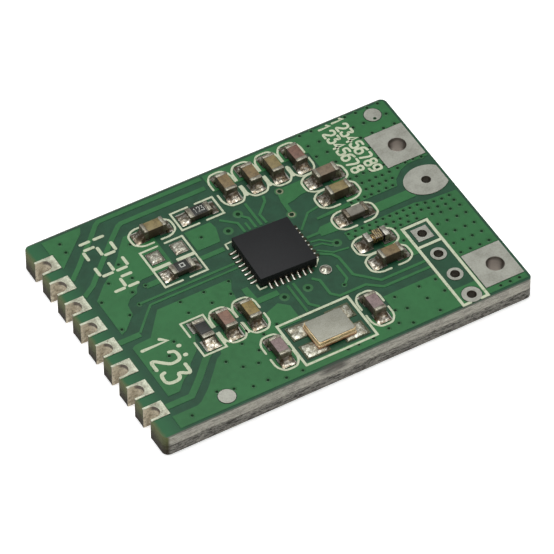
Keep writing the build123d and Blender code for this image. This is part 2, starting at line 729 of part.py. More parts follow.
def edge_windows():
    """The openings around the ground pads and the castellated contacts, alike on both faces."""
    gap = MASK_GAP
    holes = [
        window(GROUND_PAD_X, y, GROUND_PAD_LENGTH + 2 * gap, GROUND_PAD_WIDTH + 2 * gap)
        for y in GROUND_PAD_YS
    ]
    depth = CONTACT_DEPTH + gap
    for y in contact_ys():
        holes.append(window(-BOARD_LENGTH / 2 + depth / 2, y, depth, CONTACT_WIDTH + 2 * gap))
    return holes


def top_copper():
    """The masked copper of the top face: fills and traces, standing slightly proud."""
    shape = Sketch() + [polygon(corners) for corners in FILLS]
    shape += [strip(row[1:], row[0]) for row in TRACES]
    shape -= pad_windows()
    return plate(shape, TOP, COPPER_THICKNESS).solids()


def bottom_copper():
    """The masked copper of the underside: one broad fill."""
    header_width = 2 * (HEADER_WIDE_RING_RADIUS + MASK_GAP)
    header_length = header_width + HEADER_PITCH * (HEADER_COUNT - 1)
    header_y = (header_ys()[0] + header_ys()[-1]) / 2
    antenna_length = 2 * (ANTENNA_HALF_LENGTH + MASK_GAP)
    antenna_width = 2 * (ANTENNA_HALF_WIDTH + MASK_GAP)
    shape = Rectangle(BOARD_LENGTH - 2 * EDGE_MARGIN, BOARD_WIDTH - 2 * EDGE_MARGIN)
    shape -= edge_windows()
    shape -= window(HEADER_X, header_y, header_width, header_length)
    shape -= window(ANTENNA_X, ANTENNA_Y, antenna_length, antenna_width)
    return plate(shape, PAD_THICKNESS - COPPER_THICKNESS, COPPER_THICKNESS).solids()


def save(name, shape):
    """Write one node's solids as a STEP file."""
    solids = shape if isinstance(shape, (list, ShapeList)) else [shape]
    flat = [solid for item in solids for solid in item.solids()]
    export_step(Compound(children=flat), f"parts/{name}.step")


def main():
    """Build every node and save it."""
    os.makedirs("parts", exist_ok=True)
    save("circuit_board", circuit_board())
    save("top_copper", top_copper())
    save("bottom_copper", bottom_copper())
    save("edge_contacts", edge_contacts())
    save("header_square_pad", header_square_pad())
    save("header_ring_pads", header_ring_pads())
    save("ground_pads", ground_pads())
    save("antenna_pad", antenna_pad())
    save("sighting_discs", sighting_discs())
    save("test_pad", plate(Pos(TEST_PAD_X, TEST_PAD_Y) * Circle(TEST_PAD_RADIUS), TOP, PAD_THICKNESS))
    save("test_pad_solder", test_pad_solder())
    save("chip_body", chip_body())
    save("chip_leads", chip_leads())
    save("chip_pad", chip_pad())
    save("chip_lands", chip_lands())
    save("crystal_base", crystal_base())
    save("crystal_seal", crystal_seal())
    save("crystal_lid", crystal_lid())
    save("crystal_contacts", crystal_contacts())
    save("crystal_lands", crystal_lands())
    for i, body in enumerate(capacitor_bodies()):
        save(f"capacitor_{i + 1:02d}", body)
    save("capacitor_terminals", capacitor_terminals())
    save("resistor_substrates", resistor_substrates())
    save("resistor_overcoats", resistor_overcoats())
    save("resistor_terminals", resistor_terminals())
    save("inductor_body", inductor_body())
    save("inductor_terminals", inductor_terminals())
    save("coil_core", coil_core())
    save("coil_winding", coil_winding())
    save("coil_coat", coil_coat())
    save("coil_terminals", coil_terminals())
    save("part_lands", part_lands())
    save("solder_fillets", solder_fillets())
    save("bare_site_solder", bare_site_solder())


main()
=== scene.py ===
"""Wireless receiver board: finishes, print, solder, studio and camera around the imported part."""

import functools
import logging
import math
from collections.abc import Callable, Sequence
from dataclasses import dataclass
from enum import Enum

import bmesh
import bpy
from mathutils import Matrix, Vector, noise
from mathutils.bvhtree import BVHTree

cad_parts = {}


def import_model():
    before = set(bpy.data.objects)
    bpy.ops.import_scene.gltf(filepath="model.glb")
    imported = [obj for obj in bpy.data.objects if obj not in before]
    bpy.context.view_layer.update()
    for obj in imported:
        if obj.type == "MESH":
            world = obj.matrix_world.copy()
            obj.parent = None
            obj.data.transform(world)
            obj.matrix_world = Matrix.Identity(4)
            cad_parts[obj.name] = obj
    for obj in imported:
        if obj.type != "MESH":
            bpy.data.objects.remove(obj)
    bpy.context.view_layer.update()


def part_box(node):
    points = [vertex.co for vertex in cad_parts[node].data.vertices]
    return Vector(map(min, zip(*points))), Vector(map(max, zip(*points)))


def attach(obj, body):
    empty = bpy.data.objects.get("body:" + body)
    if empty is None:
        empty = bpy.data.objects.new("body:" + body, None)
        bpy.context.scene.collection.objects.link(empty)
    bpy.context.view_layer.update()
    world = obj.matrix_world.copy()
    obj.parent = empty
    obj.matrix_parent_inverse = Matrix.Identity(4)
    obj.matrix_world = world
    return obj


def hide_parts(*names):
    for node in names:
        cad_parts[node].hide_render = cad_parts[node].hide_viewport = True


MM = 0.001
MICRON = 0.001 * MM
TURN = 2 * math.pi
PHOTO_FRAME = 554
SENSOR = 36.0
BODY = "root"
LOG = logging.getLogger("receiver_board")

Point = tuple[float, float]
Line = tuple[Point, ...]
Triple = tuple[float, float, float]
Colour = tuple[float, float, float, float]


def paint(red: float, green: float, blue: float) -> Colour:
    """Turn a colour in steps of 0 to 255 into linear shader values.

    Args:
        red: Red step.
        green: Green step.
        blue: Blue step.

    Returns:
        The linear colour with full opacity.
    """
    shares = [step / 255 for step in (red, green, blue)]
    values = [s / 12.92 if s <= 0.04045 else ((s + 0.055) / 1.055) ** 2.4 for s in shares]
    return (*values, 1.0)


def span(node: str) -> tuple[Vector, Vector]:
    """Give the lowest and highest corner of a CAD node's box in millimetres."""
    low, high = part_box(node)
    return low / MM, high / MM


# Shader maths


def maths(operation: str, turned: bool = False) -> "Callable[[Field, Value], Field]":
    """Make one of the field's operators, which adds a Math node.

    Args:
        operation: The node's operation.
        turned: Whether the field is the second operand.

    Returns:
        The operator.
    """

    def apply(field: "Field", other: "Value" = 0.0) -> "Field":
        """Add the node for a field and another value."""
        operands = (other, field) if turned else (field, other)
        return field.surface.node("ShaderNodeMath", {"operation": operation}, dict(enumerate(operands)))

    return apply


class Field:
    """A shader socket that takes part in Python arithmetic."""

    def __init__(self, surface: "Surface", socket: bpy.types.NodeSocket) -> None:
        """Wrap an output socket of a surface's node tree."""
        self.surface = surface
        self.socket = socket

    __add__ = maths("ADD")
    __radd__ = maths("ADD", True)
    __sub__ = maths("SUBTRACT")
    __rsub__ = maths("SUBTRACT", True)
    __mul__ = maths("MULTIPLY")
    __rmul__ = maths("MULTIPLY", True)
    __truediv__ = maths("DIVIDE")
    __rtruediv__ = maths("DIVIDE", True)
    __abs__ = maths("ABSOLUTE")
    sine = maths("SINE")

    def step(self, low: float, high: float) -> "Field":
        """Rise smoothly from 0 to 1.

        Args:
            low: Where the rise begins.
            high: Where the rise ends.

        Returns:
            The smooth step.
        """
        sockets = {"Value": self, "From Min": low, "From Max": high, "To Min": 0.0, "To Max": 1.0}
        return self.surface.node("ShaderNodeMapRange", {"interpolation_type": "SMOOTHSTEP"}, sockets)


Value = float | Field


class Surface:
    """One material with its node tree."""

    def __init__(self, name: str) -> None:
        """Start a material with a bare Principled shader.

        Args:
            name: The material's name.
        """
        self.material = bpy.data.materials.new(name)
        self.material.use_nodes = True
        self.tree = self.material.node_tree
        self.tree.nodes.clear()
        self.shader = self.tree.nodes.new("ShaderNodeBsdfPrincipled")
        end = self.tree.nodes.new("ShaderNodeOutputMaterial")
        self.tree.links.new(self.shader.outputs[0], end.inputs[0])

    def node(
        self, kind: str, settings: dict | None = None, inputs: dict | None = None, output: int | str = 0,
    ) -> Field:
        """Add any node: settings first, then the values or links of its sockets.

        Args:
            kind: The node's type.
            settings: Its properties.
            inputs: Socket names or numbers with values or fields.
            output: Which output to give back.

        Returns:
            The chosen output as a field.
        """
        made = self.tree.nodes.new(kind)
        for key, value in (settings or {}).items():
            setattr(made, key, value)
        for key, value in (inputs or {}).items():
            self.feed(made.inputs[key], value)
        return Field(self, made.outputs[output])

    def feed(self, socket: bpy.types.NodeSocket, value: "Value | Colour | Triple") -> None:
        """Set a socket's value, or link a field to it.

        Args:
            socket: The input socket.
            value: A plain value or a field.
        """
        if isinstance(value, Field):
            self.tree.links.new(value.socket, socket)
        else:
            socket.default_value = value

    def set(self, **sockets: "Value | Colour") -> None:
        """Set the shader's own sockets, written with underscores for spaces."""
        for name, value in sockets.items():
            self.feed(self.shader.inputs[name.replace("_", " ")], value)

    def stretch(self, vector: Field, factors: Triple) -> Field:
        """Multiply a vector by three factors."""
        return self.node("ShaderNodeVectorMath", {"operation": "MULTIPLY"}, {0: vector, 1: factors})

    def split(self, vector: Field) -> tuple[Field, ...]:
        """Give a vector's three parts."""
        outputs = self.node("ShaderNodeSeparateXYZ", inputs={0: vector}).socket.node.outputs
        return tuple(Field(self, output) for output in outputs)

    @functools.cached_property
    def spot(self) -> Field:
        """Give the surface's place in millimetres."""
        return self.stretch(self.node("ShaderNodeTexCoord", output="Object"), (1 / MM, 1 / MM, 1 / MM))

    @functools.cached_property
    def place(self) -> tuple[Field, ...]:
        """Give the three parts of the surface's place."""
        return self.split(self.spot)

    @functools.cached_property
    def facing(self) -> tuple[Field, ...]:
        """Give the three parts of the way the surface faces."""
        return self.split(self.node("ShaderNodeNewGeometry", output="Normal"))

    def grain(
        self, scale: float, detail: float = 3.0, rough: float = 0.6, factors: Triple | None = None,
    ) -> Field:
        """Give soft noise from 0 to 1.

        Args:
            scale: Cells per millimetre.
            detail: Layers of finer noise.
            rough: Weight of the finer layers.
            factors: Factors of the place, where the grain is drawn out.

        Returns:
            The noise.
        """
        vector = self.stretch(self.spot, factors) if factors else self.spot
        sockets = {"Vector": vector, "Scale": scale, "Detail": detail, "Roughness": rough}
        return self.node("ShaderNodeTexNoise", inputs=sockets)

    def pits(self, scale: float, low: float, high: float) -> Field:
        """Give scattered spots, 1 within the low radius of a spot and 0 beyond the high one."""
        sockets = {"Vector": self.spot, "Scale": scale}
        return 1 - self.node("ShaderNodeTexVoronoi", inputs=sockets).step(low, high)

    def mix(self, first: "Field | Colour", second: "Field | Colour", share: Value) -> Field:
        """Blend two colours.

        Args:
            first: The colour at share 0.
            second: The colour at share 1.
            share: The blend.

        Returns:
            The blended colour.
        """
        settings = {"data_type": "RGBA", "blend_type": "MIX", "clamp_factor": True}
        return self.node("ShaderNodeMix", settings, {0: share, 6: first, 7: second}, 2)

    def bump(self, height: Field, depth: float, strength: float = 1.0) -> Field:
        """Turn heights of 0 to 1 into a tilted normal.

        Args:
            height: The heights.
            depth: Millimetres that a height of 1 stands for.
            strength: How much of the tilt shows.

        Returns:
            The normal.
        """
        sockets = {"Strength": strength, "Distance": depth * MM, "Height": height}
        return self.node("ShaderNodeBump", inputs=sockets)


# Finishes, with places and depths in millimetres


@dataclass(frozen=True)
class Finish:
    """What every finish has: a name and the surface that it is laid on."""

    name: str

    @functools.cached_property
    def surface(self) -> Surface:
        """Give the surface, bare at first."""
        return Surface(self.name)

    def lay(self) -> None:
        """Lay colours, gloss and relief on the surface."""
        raise NotImplementedError


@functools.cache
def material_of(finish: Finish) -> bpy.types.Material:
    """Lay a finish once and give the same material again."""
    finish.lay()
    return finish.surface.material


@dataclass(frozen=True)
class MaskedLaminate(Finish):
    """Glass-epoxy board: green mask on both faces, sawn layers on the edges."""

    mask: Colour = paint(24, 70, 46)
    mask_low: Colour = paint(19, 61, 39)
    mask_end: Colour = paint(30, 88, 52)
    layer_pale: Colour = paint(170, 167, 155)
    layer_mid: Colour = paint(126, 124, 116)
    layer_dark: Colour = paint(56, 54, 50)
    tooth: Colour = paint(86, 92, 54)
    tooth_dark: Colour = paint(42, 35, 23)
    bare_rim: float = 0.11
    smudge_at: float = -1.2

    def lay(self) -> None:
        """Lay green on the faces, torn layers on the long edges and resin on the teeth."""
        s = self.surface
        (end, front, under), (_, back, top) = span("circuit_board")
        x, y, z = s.place
        flat = abs(s.facing[2]).step(0.5, 0.6)
        mottle = s.grain(1.6, 4.0)
        weave = s.grain(1.1, 6.0, 0.7, (0.8, 0.8, 5.0))
        fuzz = s.grain(2.4, 6.0, 0.8, (1.5, 1.5, 4.5))
        wander = s.grain(1.0, 3.0, 0.6, (0.35, 0.35, 0.35))
        inward = x - end
        height = (z - under) / (top - under)
        green = s.mix(self.mask_low, self.mask, mottle.step(0.3, 0.7))
        green = s.mix(self.mask_end, green, (inward + mottle - 0.5).step(0.4, 1.9))
        strand = weave * 0.45 + fuzz * 0.55
        fibre = s.mix(self.layer_mid, self.layer_pale, strand.step(0.42, 0.56))
        torn = s.mix(self.layer_dark, self.layer_mid, strand.step(0.44, 0.54))
        torn = s.mix(torn, self.layer_pale, (fuzz * 0.6 + weave * 0.4).step(0.55, 0.62) * 0.7)
        lower = 1 - (height + (wander - 0.5) * 0.3 + (fuzz - 0.5) * 0.35).step(0.42, 0.54)
        sawn = s.mix(fibre, torn, lower)
        score = 1 - abs(height - 0.5 + (wander - 0.5) * 0.08).step(0.0, 0.035)
        sawn = s.mix(sawn, self.layer_dark, score * 0.55)
        smudge = 1 - abs(x - self.smudge_at + (wander - 0.5) * 1.2).step(0.5, 1.4)
        smudge = smudge * (height + (fuzz - 0.5) * 0.7).step(0.6, 0.85)
        smudge = smudge * (1 - (y - front).step(0.2, 0.6))
        sawn = s.mix(sawn, self.layer_dark, smudge * 0.75)
        olive = s.mix(self.tooth_dark, self.tooth, (fuzz * 0.55 + height * 0.45).step(0.34, 0.72))
        sawn = s.mix(sawn, olive, 1 - inward.step(0.2, 0.42))
        ragged = y + (fuzz - 0.5) * 0.07
        rim_front = 1 - (ragged - front).step(self.bare_rim - 0.02, self.bare_rim + 0.02)
        rim_back = (ragged - back).step(0.02 - self.bare_rim, 0.06 - self.bare_rim)
        bare = (rim_front + rim_back).step(0.2, 0.8)
        face = s.mix(green, s.mix(self.layer_dark, self.layer_mid, fuzz), bare * 0.8)
        worn_end = 1 - (inward + (mottle - 0.5) * 0.3).step(0.02, 0.3)
        face = s.mix(face, olive, worn_end * 0.7)
        face = s.mix(face, self.layer_dark, smudge * 0.6)
        rough_side = fuzz * 0.8 + weave * 0.7 + lower * 0.5 - score * 0.6
        s.set(
            Base_Color=s.mix(sawn, face, flat),
            Roughness=flat * 0.42 + (1 - flat) * 0.85 + bare * 0.25,
            Normal=s.bump(flat * (mottle * 0.12) + (1 - flat) * rough_side, 0.06, 0.8),
            Specular_IOR_Level=0.35,
        )


@dataclass(frozen=True)
class MaskedCopper(Finish):
    """Copper under green mask: brighter green, with a painted highlight on the copper's edge walls."""

    mask: Colour = paint(38, 101, 53)
    mask_low: Colour = paint(32, 90, 46)
    # Paler green on the steep edge walls: a painted highlight.
    wall: Colour = paint(58, 112, 74)

    def lay(self) -> None:
        """Lay the two greens and the painted highlight on the walls."""
        s = self.surface
        cloud = s.grain(0.35, 4.0)
        mottle = s.grain(2.5, 4.0)
        green = s.mix(self.mask_low, self.mask, (cloud * 0.6 + mottle * 0.4).step(0.3, 0.65))
        s.set(
            # Painted highlight: steep faces take the paler wall colour.
            Base_Color=s.mix(self.wall, green, abs(s.facing[2]).step(0.5, 0.8)),
            Roughness=0.34 + mottle * 0.12,
            Normal=s.bump(cloud * 0.7 + mottle * 0.3, 0.012, 0.6),
            Specular_IOR_Level=0.4,
        )


@dataclass(frozen=True)
class TinnedPad(Finish):
    """Levelled tin on copper, faintly blotched, with painted light and shade in its bore: lit on the wall
    that faces one way, painted shade to its sides, low down and under its lip.
    """

    bright: Colour = paint(170, 171, 161)
    dull: Colour = paint(150, 150, 140)
    # Lit and shaded copies of the bore's metal: painted light and painted shade.
    lit_barrel: Colour = paint(158, 152, 138)
    shaded_barrel: Colour = paint(84, 76, 64)
    # Painted shade under the bore's lip.
    lip: Colour = paint(88, 80, 70)
    lip_depth: float = 0.44
    low: float = 0.4
    high: float = 1.2
    lit_side: Point = (-0.5, -0.87)
    rough_low: float = 0.34
    rough_high: float = 0.52
    ripple: float = 0.02

    def lay(self) -> None:
        """Lay the level tin and the bore with its painted light and shade."""
        s = self.surface
        lip_from = span("ground_pads")[1].z - self.lip_depth
        z = s.place[2]
        side_x, side_y, up = s.facing
        cloud = s.grain(1.1, 4.0)
        fine = s.grain(9.0)
        face = s.mix(self.dull, self.bright, (cloud * 0.5 + fine * 0.5).step(0.32, 0.62))
        level = abs(up).step(0.4, 0.7)
        # Painted light on the bore wall that faces the lit side and sits high enough; painted shade
        # elsewhere.
        lit = side_x * self.lit_side[0] + side_y * self.lit_side[1] + (fine - 0.5) * 0.16
        lit = lit.step(0.6, 1.0) * (z + (fine - 0.5) * 0.5).step(self.low, self.high)
        bore = s.mix(self.shaded_barrel, self.lit_barrel, lit)
        # Painted shade darkens the bore just under its lip.
        bore = s.mix(bore, self.lip, (z + (cloud - 0.5) * 0.4).step(lip_from, lip_from + 0.3) * 0.75)
        s.set(
            Base_Color=s.mix(bore, face, level),
            Metallic=0.25 + level * 0.6,
            Roughness=self.rough_low + (self.rough_high - self.rough_low) * cloud,
            Normal=s.bump(cloud * 0.7 + fine * 0.3, self.ripple, 0.6),
        )


@dataclass(frozen=True)
class CutContact(Finish):
    """Tinned edge contact: bright rim, brown tarnish down the slot and round its inner end, painted shade in
    the slot under its rim.
    """

    bright: Colour = paint(206, 210, 190)
    dull: Colour = paint(158, 158, 138)
    tarnish: Colour = paint(84, 72, 56)
    pale: Colour = paint(212, 202, 178)
    deep: Colour = paint(138, 126, 102)
    # Dark brown used as painted shade under the slot's rim, and for dark pits and the darker cut end faces.
    shade: Colour = paint(52, 40, 34)
    lip: float = 0.02

    def lay(self) -> None:
        """Lay the tinned faces and the slot wall with its stains and painted shade."""
        s = self.surface
        x, _, z = s.place
        side_x, _, up = s.facing
        top = span("edge_contacts")[1].z - self.lip
        inward = x - span("circuit_board")[0].x
        flat = abs(up).step(0.5, 0.7)
        cloud = s.grain(2.2, 4.0, 0.65)
        fine = s.grain(12.0, 4.0)
        blot = s.grain(4.5, 5.0, 0.75)
        pits = s.pits(5.0, 0.08, 0.22)
        near_slot = (inward + (cloud - 0.5) * 0.5).step(0.35, 0.62)
        near_slot = near_slot * (1 - (inward + (cloud - 0.5) * 0.4).step(0.98, 1.16))
        base = s.mix(self.dull, self.bright, (cloud * 0.5 + fine * 0.5).step(0.35, 0.6))
        stained = s.mix(base, self.tarnish, (near_slot * fine.step(0.4, 0.62) + pits * 0.7) * 0.6)
        blotched = z / top * 0.25 + blot * 0.9 + (fine - 0.5) * 0.3
        wall = s.mix(self.deep, self.pale, blotched.step(0.42, 0.72))
        # Painted shade just under the rim, towards the slot's inner end.
        rim = (z + (blot - 0.5) * 0.3).step(top - 0.36, top - 0.22)
        wall = s.mix(wall, self.shade, rim * inward.step(0.4, 0.66) * 0.85 + pits * 0.45)
        wall = s.mix(wall, self.pale, (1 - inward.step(0.12, 0.3)) * blot.step(0.4, 0.55) * 0.8)
        plate_end = (side_x * -1.0).step(0.6, 0.9) * (1 - inward.step(0.02, 0.08))
        wall = s.mix(wall, self.shade, plate_end * 0.9)
        s.set(
            Base_Color=s.mix(wall, stained, flat),
            Metallic=0.1 + 0.6 * flat,
            Roughness=0.42 + cloud * 0.22,
            Normal=s.bump(cloud * 0.5 + fine * 0.5, 0.04, 0.7),
        )


@dataclass(frozen=True)
class Solder(Finish):
    """Reflowed solder: bright, wavy, with grey grain, bright patches as painted glints, a little flux brown
    and painted shade on steep faces.
    """

    bright: Colour = paint(206, 202, 190)
    dull: Colour = paint(124, 117, 101)
    flux_and_shade: Colour = paint(86, 68, 48)
    ripple: float = 0.06
    metal: float = 0.9

    def lay(self) -> None:
        """Lay the metal's two shades, whose bright patches stand in for glints as a painted highlight, and
        the flux in patches and on steep faces, where it is also painted shade.
        """
        s = self.surface
        swell = s.grain(1.9, 2.0, 0.45)
        fine = s.grain(12.0)
        blot = s.grain(4.2, 4.0, 0.65)
        # Bright patches of the metal stand in for glints: painted highlight.
        base = s.mix(self.dull, self.bright, (blot * 0.7 + fine * 0.3).step(0.47, 0.6))
        patches = 1 - (swell * 0.6 + blot * 0.4).step(0.4, 0.5)
        # Flux brown on steep faces, also painted shade where they see little light.
        steep = 1 - (s.facing[2] + (swell - 0.5) * 0.5).step(0.45, 0.9)
        s.set(
            Base_Color=s.mix(s.mix(base, self.flux_and_shade, patches * 0.5), self.flux_and_shade, steep * 0.75),
            Metallic=self.metal,
            Roughness=0.26 + fine * 0.16,
            Normal=s.bump(swell * 0.94 + fine * 0.06, self.ripple, 0.8),
        )


@dataclass(frozen=True)
class Moulding(Finish):
    """Moulded epoxy with a fine matt grain."""

    tint: Colour = paint(50, 50, 58)
    tint_low: Colour = paint(38, 38, 45)
    fleck: Colour = paint(92, 92, 100)
    rough: float = 0.48

    def lay(self) -> None:
        """Lay the dark grain and its pale flecks."""
        s = self.surface
        cloud = s.grain(0.9, 4.0)
        fine = s.grain(26.0, 2.0)
        base = s.mix(self.tint_low, self.tint, (cloud * 0.5 + fine * 0.5).step(0.3, 0.66))
        s.set(
            Base_Color=s.mix(base, self.fleck, fine.step(0.64, 0.78) * 0.4),
            Roughness=self.rough + cloud * 0.14,
            Normal=s.bump(fine, 0.014, 0.6),
            Specular_IOR_Level=0.35,
        )


@dataclass(frozen=True)
class Ceramic(Finish):
    """Fired ceramic of one tint with fine speckle, dark pits and painted shade on its sides."""

    tint: Colour
    dark: Colour
    # Dark brown for the painted shade on the sides and for the pits.
    shade_and_speck: Colour = paint(52, 38, 28)

    def lay(self) -> None:
        """Lay the tint, painted shade on its sides and dark specks in its pits."""
        s = self.surface
        cloud = s.grain(2.4)
        fine = s.grain(22.0)
        pits = s.pits(9.0, 0.05, 0.16)
        base = s.mix(self.dark, self.tint, (cloud * 0.5 + fine * 0.5).step(0.36, 0.58))
        # Painted shade: steep sides darkened.
        steep = 1 - (s.facing[2] + (cloud - 0.5) * 0.3).step(0.3, 0.95)
        s.set(
            Base_Color=s.mix(s.mix(base, self.shade_and_speck, steep * 0.85), self.shade_and_speck, pits * 0.4),
            Roughness=0.42 + fine * 0.16,
            Normal=s.bump(fine * 0.7 + (1 - pits) * 0.3, 0.02, 0.7),
            Specular_IOR_Level=0.45,
        )


@dataclass(frozen=True)
class CapMetal(Finish):
    """Plated end cap, satin tin over nickel, with flux and painted shade on its steep faces."""

    bright: Colour = paint(158, 156, 142)
    dull: Colour = paint(112, 105, 90)
    flux_and_shade: Colour = paint(78, 58, 42)

    def lay(self) -> None:
        """Lay the plating, with flux and painted shade on its sides."""
        s = self.surface
        cloud = s.grain(3.4, 4.0)
        fine = s.grain(18.0)
        metal = s.mix(self.dull, self.bright, (cloud * 0.6 + fine * 0.4).step(0.36, 0.6))
        # Flux brown on steep faces, partly painted shade.
        steep = 1 - (s.facing[2] + (cloud - 0.5) * 0.6).step(0.0, 0.6)
        s.set(
            Base_Color=s.mix(metal, self.flux_and_shade, steep * 0.6),
            Metallic=0.8,
            Roughness=0.3 + cloud * 0.25,
            Normal=s.bump(cloud * 0.6 + fine * 0.4, 0.04, 0.7),
        )


@dataclass(frozen=True)
class BrushedLid(Finish):
    """Rolled metal lid with faint lengthwise grain."""

    bright: Colour = paint(160, 160, 149)
    dull: Colour = paint(136, 135, 122)

    def lay(self) -> None:
        """Lay the metal with its strokes."""
        s = self.surface
        strokes = s.grain(2.0, 4.0, 0.6, (0.6, 14.0, 2.0))
        cloud = s.grain(1.3, 3.0, 0.55)
        fine = s.grain(20.0)
        shade = strokes * 0.2 + cloud * 0.2 + fine * 0.6
        s.set(
            Base_Color=s.mix(self.dull, self.bright, shade.step(0.38, 0.6)),
            Metallic=0.7,
            Roughness=0.5 + strokes * 0.12,
            Normal=s.bump(strokes * 0.6 + fine * 0.4, 0.01, 0.5),
        )


@dataclass(frozen=True)
class CaseCeramic(Finish):
    """Gold-brown fired case: pale at the top, orange lower down, and painted shade at its foot."""

    pale: Colour = paint(238, 212, 170)
    warm: Colour = paint(198, 134, 88)
    # Painted shade at the case's foot.
    foot: Colour = paint(74, 48, 32)

    def lay(self) -> None:
        """Lay the two tints by their height on the case, with painted shade at its foot."""
        s = self.surface
        low, high = span("crystal_base")
        cloud = s.grain(1.8, 4.0, 0.65)
        fine = s.grain(18.0)
        rise = (s.place[2] - low.z) / (high.z - low.z)
        base = s.mix(self.warm, self.pale, (rise * 0.6 + cloud * 0.6 + (fine - 0.5) * 0.3).step(0.42, 0.82))
        s.set(
            # Painted shade darkens the lowest part of the case.
            Base_Color=s.mix(self.foot, base, (rise + (cloud - 0.5) * 0.5).step(0.04, 0.3)),
            Metallic=0.2 + cloud * 0.2,
            Roughness=0.38 + fine * 0.16,
            Normal=s.bump(cloud * 0.5 + fine * 0.5, 0.02, 0.6),
        )


@dataclass(frozen=True)
class GoldPlate(Finish):
    """Thin gold plating with darker worn patches."""

    bright: Colour = paint(242, 218, 174)
    dull: Colour = paint(208, 172, 124)

    def lay(self) -> None:
        """Lay the plating and its patches."""
        s = self.surface
        cloud = s.grain(3.0, 4.0)
        s.set(
            Base_Color=s.mix(self.dull, self.bright, cloud.step(0.32, 0.58)),
            Metallic=0.6,
            Roughness=0.36 + cloud * 0.2,
            Normal=s.bump(cloud, 0.02, 0.5),
        )


@dataclass(frozen=True)
class PrintInk(Finish):
    """Pale print, thin in places so that what it lies on shows through."""

    ink: Colour = paint(186, 192, 166)
    thin: Colour = paint(132, 150, 116)

    def lay(self) -> None:
        """Lay the ink and its thin patches."""
        s = self.surface
        cloud = s.grain(2.2)
        fine = s.grain(14.0)
        wear = 1 - (cloud * 0.45 + fine * 0.55).step(0.34, 0.5)
        s.set(
            Base_Color=s.mix(self.ink, self.thin, wear * 0.8),
            Roughness=0.55 + fine * 0.2,
            Normal=s.bump(fine, 0.008, 0.5),
        )


@dataclass(frozen=True)
class Enamel(Finish):
    """Enamelled copper wire, warm and glossy."""

    bright: Colour = paint(190, 160, 96)
    dark: Colour = paint(112, 84, 46)

    def lay(self) -> None:
        """Lay the copper under its clear coat."""
        s = self.surface
        cloud = s.grain(7.0)
        s.set(
            Base_Color=s.mix(self.dark, self.bright, cloud.step(0.3, 0.62)),
            Metallic=0.8,
            Roughness=0.24 + cloud * 0.12,
            Coat_Weight=0.4 + cloud * 0.3,
            Normal=s.bump(cloud, 0.01, 0.4),
        )


@dataclass(frozen=True)
class WoundResin(Finish):
    """Brown resin with pale wire showing through in strokes."""

    resin: Colour = paint(92, 78, 48)
    dark: Colour = paint(52, 42, 26)
    wire: Colour = paint(186, 168, 116)
    pitch: float = 0.14

    def lay(self) -> None:
        """Lay the resin and the strokes of wire."""
        s = self.surface
        cloud = s.grain(5.0, 4.0, 0.65)
        lean = s.grain(1.6, 2.0, 0.5)
        wave = (s.place[0] * (TURN / self.pitch) + lean * 9.0).sine()
        base = s.mix(self.dark, self.resin, cloud.step(0.3, 0.65))
        s.set(
            Base_Color=s.mix(base, self.wire, wave.step(0.35, 0.85) * cloud.step(0.42, 0.58)),
            Roughness=0.32 + cloud * 0.2,
            Coat_Weight=0.3 + cloud * 0.3,
            Normal=s.bump(wave * 0.2 + cloud * 0.5, 0.03, 0.7),
        )


class Tint(Enum):
    """The capacitors' ceramics: material slot, main tint and darker tint, mottled at random."""

    TAN = "tan_ceramic", paint(130, 116, 76), paint(96, 84, 52)
    BROWN = "brown_ceramic", paint(122, 104, 70), paint(88, 72, 46)
    RED_BROWN = "red_brown_ceramic", paint(116, 86, 72), paint(84, 60, 50)
    GREY_BROWN = "grey_brown_ceramic", paint(120, 104, 84), paint(88, 76, 60)
    PINK = "pink_ceramic", paint(132, 102, 86), paint(100, 74, 62)
    YELLOW = "yellow_ceramic", paint(136, 118, 68), paint(102, 86, 46)
    GREY_PINK = "grey_pink_ceramic", paint(134, 116, 114), paint(102, 86, 84)


# Mesh tools, in metres


@dataclass(frozen=True)
class Cell:
    """One solid of a CAD node: middle, half sizes in its own frame, turn about Z and way to its low side."""

    centre: Vector
    half: Vector
    turn: float
    outward: Vector

    @property
    def top(self) -> float:
        """Give the height of the solid's top."""
        return self.centre.z + self.half.z

    @property
    def floor(self) -> float:
        """Give the height of the solid's underside."""
        return self.centre.z - self.half.z

    def matrix(self) -> Matrix:
        """Give the matrix from the solid's own frame to the board's."""
        return Matrix.Translation(self.centre) @ Matrix.Rotation(self.turn, 4, "Z")

    def ways(self) -> tuple[Vector, Vector]:
        """Give the directions of the solid's own X and Y."""
        frame = self.matrix().to_3x3()
        return frame @ Vector((1, 0, 0)), frame @ Vector((0, 1, 0))


